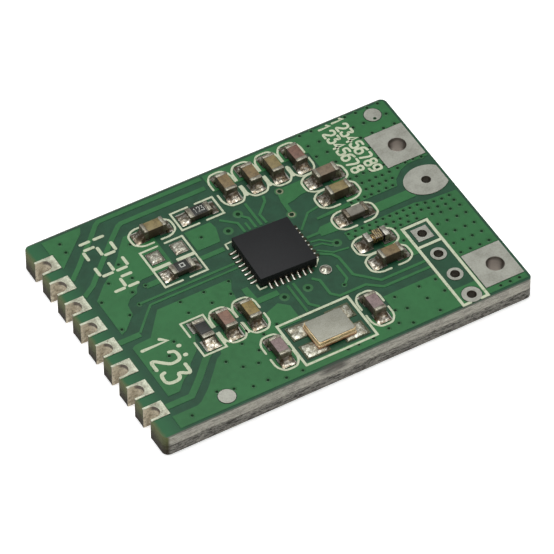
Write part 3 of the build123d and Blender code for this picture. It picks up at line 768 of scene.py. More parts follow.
class Form:
    """A mesh in the making."""

    def __init__(self, node: str | None = None) -> None:
        """Start with nothing, or with a CAD node's mesh whose flat faces are made whole again.

        Args:
            node: The node's name.
        """
        self.mesh = bmesh.new()
        if node:
            self.mesh.from_mesh(bpy.data.objects[node].data)
            verts, edges = self.mesh.verts, self.mesh.edges
            bmesh.ops.remove_doubles(self.mesh, verts=verts, dist=0.1 * MICRON)
            bmesh.ops.dissolve_limit(self.mesh, angle_limit=math.radians(1), verts=verts, edges=edges)

    def face(self, corners: Sequence[bmesh.types.BMVert], finish: int = 0) -> None:
        """Add a face with the number of its finish."""
        self.mesh.faces.new(corners).material_index = finish

    def bands(self, rings: list[list[Triple]], finishes: tuple[int, ...] = ()) -> None:
        """Join rings of points by bands of faces.

        Args:
            rings: Rings with equally many points.
            finishes: The finish of each band and of the cap on the last ring. Without them the
                last ring joins the first.
        """
        made = [[self.mesh.verts.new(point) for point in ring] for ring in rings]
        after = made[1:] if finishes else made[1:] + made[:1]
        for (outer, inner), finish in zip(zip(made, after), finishes or (0,) * len(rings)):
            for corners in zip(outer, outer[1:] + outer[:1], inner[1:] + inner[:1], inner):
                self.face(corners, finish)
        if finishes:
            self.face(made[-1], finishes[-1])

    def skin(
        self, point: Callable[[float, float], Vector], us: list[float], vs: list[float], floor: float,
    ) -> None:
        """Add a curved skin, closed down to a floor.

        Args:
            point: Gives the skin's point for a share along it and one across it.
            us: The shares along it.
            vs: The shares across it.
            floor: Height of the flat underside.
        """
        grid = [[self.mesh.verts.new(point(u, v)) for v in vs] for u in us]
        for upper, lower in zip(grid, grid[1:]):
            for corners in zip(upper, upper[1:], lower[1:], lower):
                self.face(corners)
        rim = grid[0] + [row[-1] for row in grid[1:]] + grid[-1][-2::-1] + [row[0] for row in grid[-2:0:-1]]
        feet = [self.mesh.verts.new((v.co.x, v.co.y, floor)) for v in rim]
        for corners in zip(rim[1:] + rim[:1], rim, feet, feet[1:] + feet[:1]):
            self.face(corners)
        self.face(feet)

    def soften(self, edges: list[bmesh.types.BMEdge], radius: float, facets: int) -> None:
        """Round edges.

        Args:
            edges: The edges.
            radius: Their radius.
            facets: Facets across an edge.
        """
        bmesh.ops.bevel(
            self.mesh, geom=edges, offset=radius, offset_type="OFFSET", segments=facets, profile=0.5,
            affect="EDGES", clamp_overlap=True,
        )

    def islands(self) -> list[list[bmesh.types.BMVert]]:
        """Group the vertices into separate solids, in mesh order.

        Returns:
            One list of vertices for each solid.
        """
        seen: set[bmesh.types.BMVert] = set()
        groups = []
        for start in self.mesh.verts:
            if start in seen:
                continue
            group = [start]
            seen.add(start)
            for vert in group:
                others = [edge.other_vert(vert) for edge in vert.link_edges]
                group += [other for other in others if other not in seen]
                seen.update(others)
            groups.append(group)
        return groups

    def piece(
        self, name: str, finishes: tuple[Finish, ...], slot: str | None = None, stands_for: str | None = None,
        crease: float = 40.0,
    ) -> None:
        """Turn the mesh into a dressed piece that rides on the board.

        Args:
            name: The piece's name.
            finishes: Its finishes in the order of the faces' numbers.
            slot: Not used.
            stands_for: The CAD node that the piece stands for.
            crease: Faces that meet at a sharper angle, in degrees, keep a hard edge.
        """
        mesh = bpy.data.meshes.new(name)
        bmesh.ops.recalc_face_normals(self.mesh, faces=self.mesh.faces)
        self.mesh.to_mesh(mesh)
        self.mesh.free()
        mesh.polygons.foreach_set("use_smooth", [True] * len(mesh.polygons))
        mesh.set_sharp_from_angle(angle=math.radians(crease))
        for finish in finishes:
            mesh.materials.append(material_of(finish))
        piece = bpy.data.objects.new(name, mesh)
        bpy.context.scene.collection.objects.link(piece)
        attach(piece, BODY)
        if stands_for:
            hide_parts(stands_for)
        LOG.info("%s: %d faces, stands for %s", name, len(mesh.polygons), stands_for or "nothing in the CAD")


def cells(node: str) -> list[Cell]:
    """Measure the separate solids of a CAD node.

    Args:
        node: The node's name.

    Returns:
        One cell for each solid, in the mesh's order.
    """
    form = Form(node)
    found = []
    for group in form.islands():
        edges = dict.fromkeys(edge for vert in group for edge in vert.link_edges)
        level = [e for e in edges if abs(e.verts[0].co.z - e.verts[1].co.z) < MICRON]
        longest = max(level, key=lambda e: e.calc_length())
        run = longest.verts[1].co - longest.verts[0].co
        turn = math.atan2(run.y, run.x) % (math.pi / 2)
        turn -= math.pi / 2 if turn > math.pi / 4 else 0.0
        points = [Matrix.Rotation(-turn, 3, "Z") @ v.co for v in group]
        low = Vector([min(p[i] for p in points) for i in range(3)])
        high = Vector([max(p[i] for p in points) for i in range(3)])
        middle = Matrix.Rotation(turn, 3, "Z") @ ((low + high) / 2)
        crown = [v.co for v in group if v.co.z > high.z - MICRON]
        peak = sum(crown, Vector()) / len(crown)
        outward = Vector((middle.x - peak.x, middle.y - peak.y, 0.0))
        found.append(Cell(middle, (high - low) / 2, turn, outward))
    form.mesh.free()
    return found


def dress(finish: Finish, *nodes: str) -> None:
    """Give CAD nodes a finish.

    Args:
        finish: The finish.
        nodes: The nodes' names.
    """
    for node in nodes:
        for slot in bpy.data.objects[node].material_slots:
            slot.material = material_of(finish)
        LOG.info("%s: finish %s", node, finish.name)


def rounded_node(
    name: str, node: str, finish: Finish, slot: str, radius: float, facets: int = 2, sharp: float = 30.0,
) -> None:
    """Stand for a hard-edged CAD node with the same form and rounded edges.

    Args:
        name: The new piece's name.
        node: The CAD node.
        finish: Its finish.
        slot: The record's material slot.
        radius: Radius of the edges.
        facets: Facets across an edge.
        sharp: Edges that turn by more than this, in degrees, are rounded.
    """
    form = Form(node)
    joined = [e for e in form.mesh.edges if len(e.link_faces) == 2]
    form.soften([e for e in joined if e.calc_face_angle(0.0) > math.radians(sharp)], radius, facets)
    form.piece(name, (finish,), slot, node)


def block_node(name: str, node: str, finish: Finish, slot: str, radius: float, trim: float = 0.0) -> None:
    """Stand for a node's block-shaped solids with rounded blocks of the same size.

    Args:
        name: The new piece's name.
        node: The CAD node.
        finish: Its finish.
        slot: The record's material slot.
        radius: Radius of the edges.
        trim: How far the sides stand in behind the plates.
    """
    form = Form()
    for cell in cells(node):
        half = cell.half - Vector((trim, trim, 0.0))
        size = Matrix.Diagonal((2 * half.x, 2 * half.y, 2 * half.z, 1.0))
        made = bmesh.ops.create_cube(form.mesh, size=1.0, matrix=cell.matrix() @ size)
        form.soften(list(dict.fromkeys(e for v in made["verts"] for e in v.link_edges)), radius, 3)
    form.piece(name, (finish,), slot, node)


def spread(low: float, high: float, steps: int) -> list[float]:
    """Give evenly spaced values from low to high."""
    return [low + (high - low) * i / steps for i in range(steps + 1)]


def dome(share: float, power: int) -> float:
    """Give the height of a dome, 1 in its middle and 0 at shares of -1 and 1; a high power flattens it."""
    return math.sqrt(1 - share**power)


def circle(sides: int) -> list[Point]:
    """Give the points of a circle of radius 1."""
    return [(math.cos(TURN * i / sides), math.sin(TURN * i / sides)) for i in range(sides)]


def cut_corners(points: list[Point], times: int, closed: bool = False) -> list[Point]:
    """Round a line's corners by cutting them again and again.

    Args:
        points: The line's points.
        times: How often the corners are cut.
        closed: Whether the line is a loop.

    Returns:
        The rounded line.
    """
    near, far = 0.75, 0.25
    for _ in range(times):
        cut = []
        for (ax, ay), (bx, by) in zip(points, points[1:] + points[:1] if closed else points[1:]):
            cut.append((near * ax + far * bx, near * ay + far * by))
            cut.append((far * ax + near * bx, far * ay + near * by))
        points = cut if closed else [points[0], *cut, points[-1]]
    return points


def unevenness(x: float, y: float, seed: float, lumps: float = 3.1) -> float:
    """Give a fixed small unevenness of -1 to 1 for a place in millimetres."""
    return noise.noise(Vector((x * lumps, y * lumps, seed)))


# Sub-assemblies: plain sizes are in millimetres, those times MM in metres


@dataclass(frozen=True)
class Relief:
    """Where the board's top surface is, in metres: on the laminate or on the copper."""

    laminate: float
    copper: float
    tree: BVHTree

    @classmethod
    def read(cls) -> "Relief":
        """Read the levels from the frame's nodes.

        Returns:
            The relief.
        """
        mesh = bpy.data.objects["top_copper"].data
        corners = [v.co.copy() for v in mesh.vertices]
        tree = BVHTree.FromPolygons(corners, [tuple(p.vertices) for p in mesh.polygons])
        return cls(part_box("circuit_board")[1].z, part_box("top_copper")[1].z, tree)

    def height(self, x: float, y: float) -> float:
        """Give the mask's height at a place in metres, on the copper or beside it."""
        hit = self.tree.ray_cast(Vector((x, y, 1.0)), Vector((0, 0, -1)), 2.0)
        return self.copper if hit[0] is not None else self.laminate


@dataclass
class BoardBlank:
    """The laminate, its masked copper and its bare tinned pads."""

    laminate: MaskedLaminate = MaskedLaminate("board_mask")
    copper: MaskedCopper = MaskedCopper("copper_mask")
    pads: TinnedPad = TinnedPad("pad_tin")
    # Ground holes get their own lit and shaded barrel colours: painted light and shade in their bores.
    ground: TinnedPad = TinnedPad(
        "ground_tin", lit_barrel=paint(196, 184, 171), shaded_barrel=paint(104, 95, 86), low=-0.3, high=0.5,
    )
    contact: CutContact = CutContact("contact_tin")
    land: TinnedPad = TinnedPad("land_tin", rough_low=0.25, rough_high=0.4, ripple=0.04)
    # Tin on the crystal's lands darkened towards green: partly dull tin, partly painted shade beside the
    # crystal.
    dull_and_shaded_land: TinnedPad = TinnedPad("dull_land_tin", paint(92, 95, 76), paint(60, 66, 48), ripple=0.04)
    foot: TinnedPad = TinnedPad("foot_tin", paint(60, 58, 44), paint(38, 38, 28))

    def build(self) -> None:
        """Dress the flat parts of the board."""
        dress(self.laminate, "circuit_board")
        dress(self.copper, "top_copper", "bottom_copper")
        dress(self.contact, "edge_contacts")
        dress(self.ground, "ground_pads")
        dress(self.pads, "header_square_pad", "header_ring_pads", "antenna_pad", "sighting_discs")
        dress(self.land, "test_pad", "chip_pad", "part_lands")
        dress(self.dull_and_shaded_land, "crystal_lands", "crystal_contacts")
        dress(self.foot, "chip_lands")


@dataclass
class Vias:
    """The small covered vias, dark dots with a soft rim, and the larger ringed ones."""

    relief: Relief
    rim: float = 0.19
    dot: float = 0.1
    disc_rim: float = 0.12
    ring: float = 0.34
    ring_dot: float = 0.15
    crest: float = 0.008
    sides: int = 20
    mask: MaskedCopper = MaskedCopper("via_mask", paint(42, 95, 52), paint(35, 84, 45))
    hole: Moulding = Moulding("via_shadow", paint(5, 42, 17), paint(3, 27, 10), paint(10, 48, 22), 0.9)
    bare_ring: TinnedPad = TinnedPad("via_ring", paint(136, 142, 116), paint(84, 92, 66))
    places: Line = (
        (11.0, 7.83), (6.8, 8.9), (7.67, 8.9), (6.83, 7.83), (7.66, 7.84), (6.83, 6.77), (7.65, 6.78),
        (8.42, 6.78), (10.2, 8.9), (11.0, 8.88), (11.88, 8.9), (12.68, 8.9), (10.2, 7.83), (12.69, 7.83),
        (10.15, 6.78), (11.02, 6.8), (11.87, 6.79), (12.7, 6.8), (7.68, 5.75), (9.32, 5.72), (10.2, 5.75),
        (10.22, 4.68), (9.0, 4.68), (10.2, 4.0), (8.17, 3.98), (8.7, 4.02), (7.7, 4.0), (9.17, 3.93),
        (9.7, 3.95), (8.17, 3.3), (8.7, 3.25), (9.2, 3.3), (9.65, 3.25), (10.2, 3.28), (10.83, 3.3),
        (11.5, 3.47), (12.1, 3.5), (12.67, 3.4), (8.12, 2.7), (8.6, 2.72), (9.1, 2.7), (9.6, 2.7),
        (10.08, 2.7), (6.7, 2.15), (7.22, 2.15), (7.7, 2.18), (8.18, 2.14), (8.73, 2.13), (9.28, 2.14),
        (9.77, 2.14), (7.65, 3.4), (7.6, 2.85), (5.15, -0.1), (5.68, -0.08), (6.17, -0.08), (6.7, -0.1),
        (7.2, -0.08), (7.72, -0.06), (8.23, -0.06), (8.72, -0.1), (9.22, -0.08), (9.7, -0.1),
        (10.24, -0.1), (10.78, -0.2), (11.32, -0.38), (11.88, -0.42), (12.45, -0.4), (5.42, -0.5),
        (6.5, -0.52), (7.1, -0.5), (7.65, -0.57), (8.18, -0.62), (8.68, -0.6), (9.2, -0.6), (9.68, -0.62),
        (10.24, -0.6), (10.73, -0.7), (11.3, -0.88), (11.85, -0.95), (12.5, -0.9), (7.97, -1.15),
        (8.43, -1.08), (9.0, -1.08), (9.6, -1.12), (10.65, -1.27), (11.22, -1.4), (11.9, -1.45),
        (12.6, -1.45), (7.9, -2.33), (10.5, -2.2), (11.2, -2.2), (11.93, -2.2), (12.6, -2.2), (10.5, -3.2),
        (11.18, -3.2), (11.93, -3.2), (12.6, -3.2), (10.53, -4.1), (11.2, -4.12), (11.9, -4.12),
        (12.6, -4.1), (10.5, -5.0), (11.2, -5.02), (11.9, -5.03), (12.6, -5.0), (11.2, -8.67),
        (11.9, -8.67), (12.58, -8.67), (4.92, -6.17), (6.7, -6.17), (7.92, -6.17), (4.37, -7.15),
        (5.12, -7.37), (6.65, -7.28), (7.92, -7.28), (4.83, -8.6), (6.82, -8.55), (4.03, -8.18),
        (3.25, -8.25), (2.0, -8.48), (0.93, -8.45), (0.17, -8.48), (-3.15, -8.57), (-4.33, -8.58),
        (-5.42, -8.18), (-6.45, -8.17), (-5.22, -6.67), (-6.2, -6.47), (-6.92, -5.57), (-5.32, -4.78),
        (-3.76, -4.77), (-2.63, -4.45), (-4.67, -5.78), (-7.6, -7.75), (-8.63, -7.43), (-10.9, -8.35),
        (-11.08, -3.97), (-9.73, -3.4), (-8.9, -2.5), (-6.93, -0.87), (-5.24, -0.87), (-3.84, -0.8),
        (-3.44, 0.2), (-5.24, 0.18), (-6.93, 0.18), (-11.22, 0.0), (-10.2, 0.8), (-9.22, 1.32),
        (-8.13, 2.5), (-9.13, 2.4), (-11.23, 2.6), (-10.07, 3.8), (-8.55, 3.47), (-8.75, 4.9),
        (-11.13, 7.47), (-11.13, 8.28), (-7.27, 6.05), (-3.07, 4.33), (2.73, -3.68),
    )
    on_disc: Point = (11.83, 7.82)
    ringed: Line = ((-0.05, 4.93), (-1.3, 3.97), (4.15, -0.35), (0.62, -2.75), (-1.05, -2.7))
    bare: Line = ((3.23, 5.3), (2.9, 3.2))

    def build(self) -> None:
        """Build all the vias as one piece."""
        form = Form()
        for place in self.places:
            self._via(form, place, self.dot, self.rim)
        self._via(form, self.on_disc, self.dot, self.disc_rim, level=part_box("sighting_discs")[1].z)
        for place in self.ringed:
            self._via(form, place, self.ring_dot, self.ring)
        for place in self.bare:
            self._via(form, place, self.ring_dot, self.ring, 2)
        form.piece("vias", (self.mask, self.hole, self.bare_ring), "track_green", crease=80)

    def _via(
        self, form: Form, place: Point, dot: float, rim: float, crest: int = 0, level: float | None = None,
    ) -> None:
        """Add one via: a soft mask rim around a dark dimple.

        Args:
            form: The mesh to add to.
            place: The via's middle.
            dot: Radius of the dark dimple.
            rim: Radius of the rim's foot.
            crest: Number of the finish on the rim's inner part.
            level: Height in metres of the surface it lies on, if that isn't the mask.
        """
        x, y = place[0] * MM, place[1] * MM
        z = self.relief.height(x, y) if level is None else level
        top = self.crest
        profile = ((rim, -top), (rim, 0.0), ((dot + rim) / 2, top), (dot, 0.8 * top), (0.55 * dot, 0.3 * top))
        rings = []
        for radius, lift in profile:
            r = radius * MM
            rings.append([(x + r * c, y + r * s, z + lift * MM) for c, s in circle(self.sides)])
        form.bands(rings, (0, 0, crest, 1, 1))


@dataclass
class Printer:
    """Draws lines of ink with round ends, each a hair above the last where they cross."""

    form: Form
    floor: float
    top: float
    count: int = 0
    layers: int = 7
    layer: float = 0.3 * MICRON
    end_sides: int = 6
    sharpest: float = 0.3
    wobble: float = 0.1

    def line(self, points: Sequence[Point], width: float, closed: bool = False) -> None:
        """Draw one line.

        Args:
            points: Its centre points.
            width: Its width.
            closed: Whether it is a loop.
        """
        self.count += 1
        top = self.top + (self.count % self.layers) * self.layer
        sides = self._sides(points, width / 2, closed)
        make = self.form.mesh.verts.new
        upper = [[make((px * MM, py * MM, top)) for px, py in side] for side in sides]
        lower = [[make((px * MM, py * MM, self.floor)) for px, py in side] for side in sides]
        count = len(points)
        for i in range(count if closed else count - 1):
            j = (i + 1) % count
            self.form.face((upper[0][i], upper[0][j], upper[1][j], upper[1][i]))
            self.form.face((upper[0][j], upper[0][i], lower[0][i], lower[0][j]))
            self.form.face((upper[1][i], upper[1][j], lower[1][j], lower[1][i]))
        if not closed:
            for end, before in ((0, 1), (-1, -2)):
                corners = [(upper[k][end], lower[k][end]) for k in (0, 1)]
                self._round_end(points[end], points[before], corners, width / 2)

    def _round_end(
        self, tip: Point, before: Point, corners: list[tuple[bmesh.types.BMVert, ...]], radius: float,
    ) -> None:
        """Add the half disc at a line's end.

        Args:
            tip: The line's last point.
            before: The point before it.
            corners: The line's upper and lower corner on either side.
            radius: Half the line's width.
        """
        way = math.atan2(tip[1] - before[1], tip[0] - before[0])
        high, low = (vert.co for vert in corners[0])
        side = math.atan2(high.y - tip[1] * MM, high.x - tip[0] * MM) - way
        sign = 1 if math.sin(side) > 0 else -1
        fan = [corners[0]]
        for i in range(1, self.end_sides):
            angle = way + sign * (math.pi / 2 - math.pi * i / self.end_sides)
            px, py = (tip[0] + radius * math.cos(angle)) * MM, (tip[1] + radius * math.sin(angle)) * MM
            fan.append(tuple(self.form.mesh.verts.new((px, py, z)) for z in (high.z, low.z)))
        fan.append(corners[1])
        self.form.face([upper for upper, _ in fan])
        for (first, first_low), (second, second_low) in zip(fan, fan[1:]):
            self.form.face((first, second, second_low, first_low))

    def _sides(self, points: Sequence[Point], half: float, closed: bool) -> tuple[list[Point], list[Point]]:
        """Work out both edges of a line, mitred where it bends.

        Args:
            points: Its centre points.
            half: Half its width.
            closed: Whether it is a loop.

        Returns:
            The left and the right edge.
        """
        left, right = [], []
        count = len(points)
        for i, (x, y) in enumerate(points):
            ways = []
            for a, b in ((i - 1, i), (i, i + 1)):
                if closed or (a >= 0 and b < count):
                    (ax, ay), (bx, by) = points[a % count], points[b % count]
                    size = math.hypot(bx - ax, by - ay)
                    ways.append(((ay - by) / size, (bx - ax) / size))
            nx = sum(w[0] for w in ways) / len(ways)
            ny = sum(w[1] for w in ways) / len(ways)
            reach = half / max(nx * nx + ny * ny, self.sharpest) * (1 + self.wobble * unevenness(x, y, half))
            left.append((x + nx * reach, y + ny * reach))
            right.append((x - nx * reach, y - ny * reach))
        return left, right


NUMERALS: dict[str, tuple[Line, ...]] = {
    "1": (((0.15, 0.78), (0.5, 1.0), (0.5, 0.0)),),
    "2": (((0.0, 0.78), (0.12, 1.0), (0.88, 1.0), (1.0, 0.68), (0.9, 0.5), (0.0, 0.0), (1.0, 0.0)),),
    "3": (((0.0, 1.0), (0.95, 1.0), (0.35, 0.58), (1.0, 0.56), (1.0, 0.0), (0.1, 0.0), (0.0, 0.18)),),
    "4": (((0.75, 0.0), (0.75, 1.0), (0.0, 0.3), (1.0, 0.3)),),
    "5": (((0.95, 1.0), (0.1, 1.0), (0.05, 0.56), (0.95, 0.64), (1.05, 0.02), (0.1, -0.02), (0.0, 0.16)),),
    "6": (
        ((0.85, 1.0), (0.1, 0.9), (0.0, 0.3)),
        ((0.0, 0.3), (0.0, 0.0), (1.0, 0.0), (1.0, 0.6), (0.0, 0.6), (0.0, 0.3)),
    ),
    "7": (((0.0, 1.0), (1.0, 1.0), (0.4, 0.0)),),
    "8": (
        ((0.5, 0.54), (0.05, 0.6), (0.05, 1.0), (0.95, 1.0), (0.95, 0.6), (0.5, 0.54)),
        ((0.5, 0.5), (0.0, 0.48), (0.0, 0.0), (1.0, 0.0), (1.0, 0.48), (0.5, 0.5)),
    ),
    "9": (
        ((0.15, 0.0), (0.9, 0.1), (1.0, 0.7)),
        ((1.0, 0.7), (1.0, 1.0), (0.0, 1.0), (0.0, 0.4), (1.0, 0.4), (1.0, 0.7)),
    ),
}
STRAIGHT_NUMERALS = "14"


@dataclass(frozen=True)
class NumeralRow:
    """A row of numerals that reads along -Y with its heads towards +X."""

    text: str
    foot: float
    start: float
    tall: float
    wide: float
    pitch: float
    line: float

    def draw(self, printer: Printer) -> None:
        """Draw the row.

        Args:
            printer: What draws its lines.
        """
        for number, sign in enumerate(self.text):
            left = self.start - self.pitch * number
            for stroke in NUMERALS[sign]:
                closed = stroke[0] == stroke[-1]
                points = list(stroke[:-1]) if closed else list(stroke)
                points = points if sign in STRAIGHT_NUMERALS else cut_corners(points, 2, closed)
                placed = [(self.foot + py * self.tall, left - px * self.wide) for px, py in points]
                printer.line(placed, self.line, closed)


@dataclass(frozen=True)
class Site:
    """A part's printed outline: its middle, its turn in degrees and whether its ends are rounded."""

    x: float
    y: float
    turn: int = 0
    rounded: bool = True
    length: float = 3.05
    width: float = 1.6
    gap: float = 0.56
    bevel: Line = ((-0.52, 0.0), (-0.1, -0.3))
    flank: float = 0.35
    line: float = 0.14

    def draw(self, printer: Printer) -> None:
        """Draw the outline as two halves with a gap between them.

        Args:
            printer: What draws its lines.
        """
        a, b = self.length / 2, self.width / 2
        corner = [(a, b)]
        if self.rounded:
            corner = [(a + px, b + py) for px, py in self.bevel] + [(a, self.flank * b)]
        half = [(self.gap / 2, b), *corner]
        half += [(px, -py) for px, py in reversed(half)]
        c, s = math.cos(math.radians(self.turn)), math.sin(math.radians(self.turn))
        for side in (1, -1):
            points = [(side * px, py) for px, py in half]
            points = cut_corners(points, 1) if self.rounded else points
            placed = [(self.x + px * c - py * s, self.y + px * s + py * c) for px, py in points]
            printer.line(placed, self.line)


@dataclass
class BoardPrint:
    """The white print: part outlines, frames, strokes, numerals and dots."""

    relief: Relief
    film: float = 0.012
    ink: PrintInk = PrintInk("print_ink")
    sites: tuple[Site, ...] = (
        Site(-5.60, 6.24), Site(-2.29, 6.25, 0, False), Site(-5.60, 4.25, 0, False),
        Site(-5.60, 2.52, 0, False), Site(6.30, 4.85), Site(6.30, 3.20), Site(6.30, 1.07),
        Site(6.30, -1.50), Site(6.30, -3.17),
        Site(0.42, 7.22, 90), Site(2.15, 7.22, 90), Site(3.87, 7.22, 90), Site(5.55, 7.22, 90),
        Site(-7.05, -2.97, 90, False), Site(-5.30, -2.97, 90), Site(-3.65, -2.97, 90),
        Site(-3.65, -6.55, 90), Site(3.37, -6.37, 90),
    )
    crystal_frame: tuple[float, ...] = (-2.75, -8.33, 2.38, -4.65)
    crystal_line: float = 0.165
    header_frame: tuple[float, ...] = (8.3, -8.95, 10.1, -1.5)
    header_divider: float = -3.38
    header_foot: float = 0.5
    header_line: float = 0.2
    bar_line: float = 0.28
    bars: tuple[Line, ...] = (
        ((1.3, 6.12), (1.3, 6.82)), ((3.02, 6.12), (3.02, 6.82)), ((4.72, 6.12), (4.72, 6.82)),
        ((-6.17, -4.08), (-6.17, -3.34)), ((-4.47, -4.08), (-4.47, -3.34)),
    )
    chip_line: float = 0.11
    chip_marks: tuple[Line, ...] = (
        ((-2.07, -1.0), (-2.07, -1.4), (-1.6, -1.4)),
        ((-2.1, 2.6), (-2.07, 3.02), (-1.6, 3.05)),
        ((1.95, -1.45), (2.4, -0.98)),
    )
    dash: float = 0.6
    dash_line: float = 0.22
    level_dashes: Line = (
        (-9.75, 7.56), (-8.75, 7.56), (-8.75, 6.03), (-9.72, 7.0), (-8.72, 4.5), (-9.72, 4.5),
        (-8.72, 3.92), (-9.7, 2.97), (-8.72, 2.97),
    )
    upright_dashes: Line = (
        (-8.25, 6.5), (-9.23, 6.5), (-10.2, 6.5), (-8.23, 5.0), (-9.23, 5.0), (-10.2, 5.0), (-9.23, 3.45),
    )
    dot: float = 0.06
    dot_line: float = 0.28
    dots: Line = ((-8.8, -2.95), (-8.8, -3.8))
    rows: tuple[NumeralRow, ...] = (
        NumeralRow("123", -11.0, -1.75, 1.8, 0.95, 1.36, 0.24),
        NumeralRow("123456789", 9.2, 9.02, 0.8, 0.42, 0.6, 0.17),
        NumeralRow("12345678", 8.15, 8.9, 0.8, 0.42, 0.6, 0.17),
    )

    def build(self) -> None:
        """Build the print as one piece."""
        form = Form()
        printer = Printer(form, self.relief.laminate, self.relief.copper + self.film * MM)
        for site in self.sites:
            site.draw(printer)
        self._frames(printer)
        for places, along, across, line in (
            (self.level_dashes, self.dash, 0.0, self.dash_line),
            (self.upright_dashes, 0.0, self.dash, self.dash_line),
            (self.dots, self.dot, 0.0, self.dot_line),
        ):
            for x, y in places:
                dx, dy = along / 2, across / 2
                printer.line([(x - dx, y - dy), (x + dx, y + dy)], line)
        for row in self.rows:
            row.draw(printer)
        form.piece("board_print", (self.ink,), crease=50)

    def _frames(self, printer: Printer) -> None:
        """Add the frames of the crystal and the header, the bars between outlines and the chip's marks.

        Args:
            printer: What draws the lines.
        """
        x0, y0, x1, y1 = self.crystal_frame
        printer.line([(x0, y0), (x1, y0), (x1, y1), (x0, y1)], self.crystal_line, True)
        x0, y0, x1, y1 = self.header_frame
        inner = ((x0 + self.header_foot, y0), (x1 - self.header_foot, y0))
        printer.line([inner[0], (x0, y0), (x0, y1), (x1, y1), (x1, y0), inner[1]], self.header_line)
        printer.line([(x0, self.header_divider), (x1, self.header_divider)], self.header_line)
        for marks, line in ((self.bars, self.bar_line), (self.chip_marks, self.chip_line)):
            for mark in marks:
                printer.line(mark, line)


@dataclass
class Chip:
    """The leadless chip: body, leads and the solder at their feet."""

    edge: float = 0.03 * MM
    lead_edge: float = 0.015 * MM
    reach: float = 0.44 * MM
    tuck: float = 0.02 * MM
    rise: float = 0.13 * MM
    width_share: float = 0.52
    low_share: float = 0.1
    hollow: float = 1.8
    lumps: float = 0.2
    facets: tuple[int, int] = (5, 4)
    body: Moulding = Moulding("chip_moulding", paint(23, 24, 26), paint(15, 16, 18), paint(54, 55, 56), 0.6)
    metal: CapMetal = CapMetal("lead_tin", paint(120, 112, 92), paint(84, 72, 54))
    solder: Solder = Solder(
        "lead_solder", paint(232, 230, 220), paint(206, 202, 190), paint(176, 168, 150), 0.02, 0.35,
    )

    def build(self) -> None:
        """Build the rounded body and leads with their solder."""
        rounded_node("chip_case", "chip_body", self.body, "chip_black", self.edge)
        rounded_node("chip_lead_frames", "chip_leads", self.metal, "lead_metal", self.lead_edge)
        form = Form()
        low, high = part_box("chip_body")
        for cell in cells("chip_leads"):
            self._foot(form, cell, cell.centre - (low + high) / 2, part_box("chip_lands")[1].z)
        form.piece("chip_lead_solder", (self.solder,), "solder", crease=60)

    def _foot(self, form: Form, cell: Cell, way: Vector, seat: float) -> None:
        """Add the wedge of solder in front of one lead.

        Args:
            form: The mesh to add to.
            cell: The lead.
            way: The way from the chip's middle to the lead.
            seat: Height of the lands.
        """
        sides = sorted(zip(cell.ways(), cell.half), key=lambda side: -abs(way.dot(side[0])))
        (along, length), (across, half) = sides
        along = along * (1 if way.dot(along) > 0 else -1)
        start = cell.centre + along * (length - self.tuck)

        def point(u: float, v: float) -> Vector:
            """Give a point of the wedge.

            Args:
                u: Share of its length.
                v: Share of its half width.

            Returns:
                The point.
            """
            fall = (1 - u) ** self.hollow * (1 - self.low_share) + self.low_share
            lump = 1 + self.lumps * unevenness(start.x / MM, start.y / MM + u, v)
            spot = start + along * (u * self.reach) + across * (v * half * self.width_share)
            return Vector((spot.x, spot.y, seat + self.rise * fall * dome(v, 4) * lump * (1 - u**8)))

        form.skin(point, spread(0.0, 1.0, self.facets[0]), spread(-1.0, 1.0, self.facets[1]), seat)


@dataclass
class Crystal:
    """The crystal: ceramic case, gold seal and metal lid with soft edges, and its solder."""

    case_edge: float = 0.05 * MM
    ring_edge: float = 0.02 * MM
    lid_edge: float = 0.035 * MM
    film: float = 0.07 * MM
    film_share: float = 0.84
    film_wander: float = 0.14
    film_lumps: float = 0.5
    facets: tuple[int, int] = (12, 10)
    case: CaseCeramic = CaseCeramic("crystal_ceramic")
    seal: GoldPlate = GoldPlate("crystal_gold")
    lid: BrushedLid = BrushedLid("crystal_lid_metal")
    solder: Solder = Solder(
        "crystal_solder", paint(206, 206, 192), paint(150, 148, 132), paint(104, 94, 72), 0.03, 0.55,
    )

    def build(self) -> None:
        """Build the crystal's pieces."""
        rounded_node("crystal_case", "crystal_base", self.case, "case_ceramic", self.case_edge, 3)
        rounded_node("crystal_ring", "crystal_seal", self.seal, "gold_seal", self.ring_edge)
        rounded_node("crystal_cover", "crystal_lid", self.lid, "lid_metal", self.lid_edge, 3)
        form = Form()
        us, vs = (spread(-1.0, 1.0, count) for count in self.facets)
        for cell in cells("crystal_lands"):
            form.skin(functools.partial(self._film, cell), us, vs, cell.top)
        form.piece("crystal_solder", (self.solder,), "solder", crease=60)

    def _film(self, cell: Cell, u: float, v: float) -> Vector:
        """Give a point of the solder on a land.

        Args:
            cell: The land.
            u: Share of its half length.
            v: Share of its half width.

        Returns:
            The point.
        """
        wander = unevenness(u + cell.centre.x / MM, v + cell.centre.y / MM, 6.0)
        shrink = self.film_share + self.film_wander * wander
        x = cell.centre.x + u * cell.half.x * shrink
        y = cell.centre.y + v * cell.half.y * shrink
        lump = 1 + self.film_lumps * unevenness(x / MM, y / MM, 4.0)
        return Vector((x, y, cell.top + self.film * dome(u, 4) * dome(v, 4) * lump))


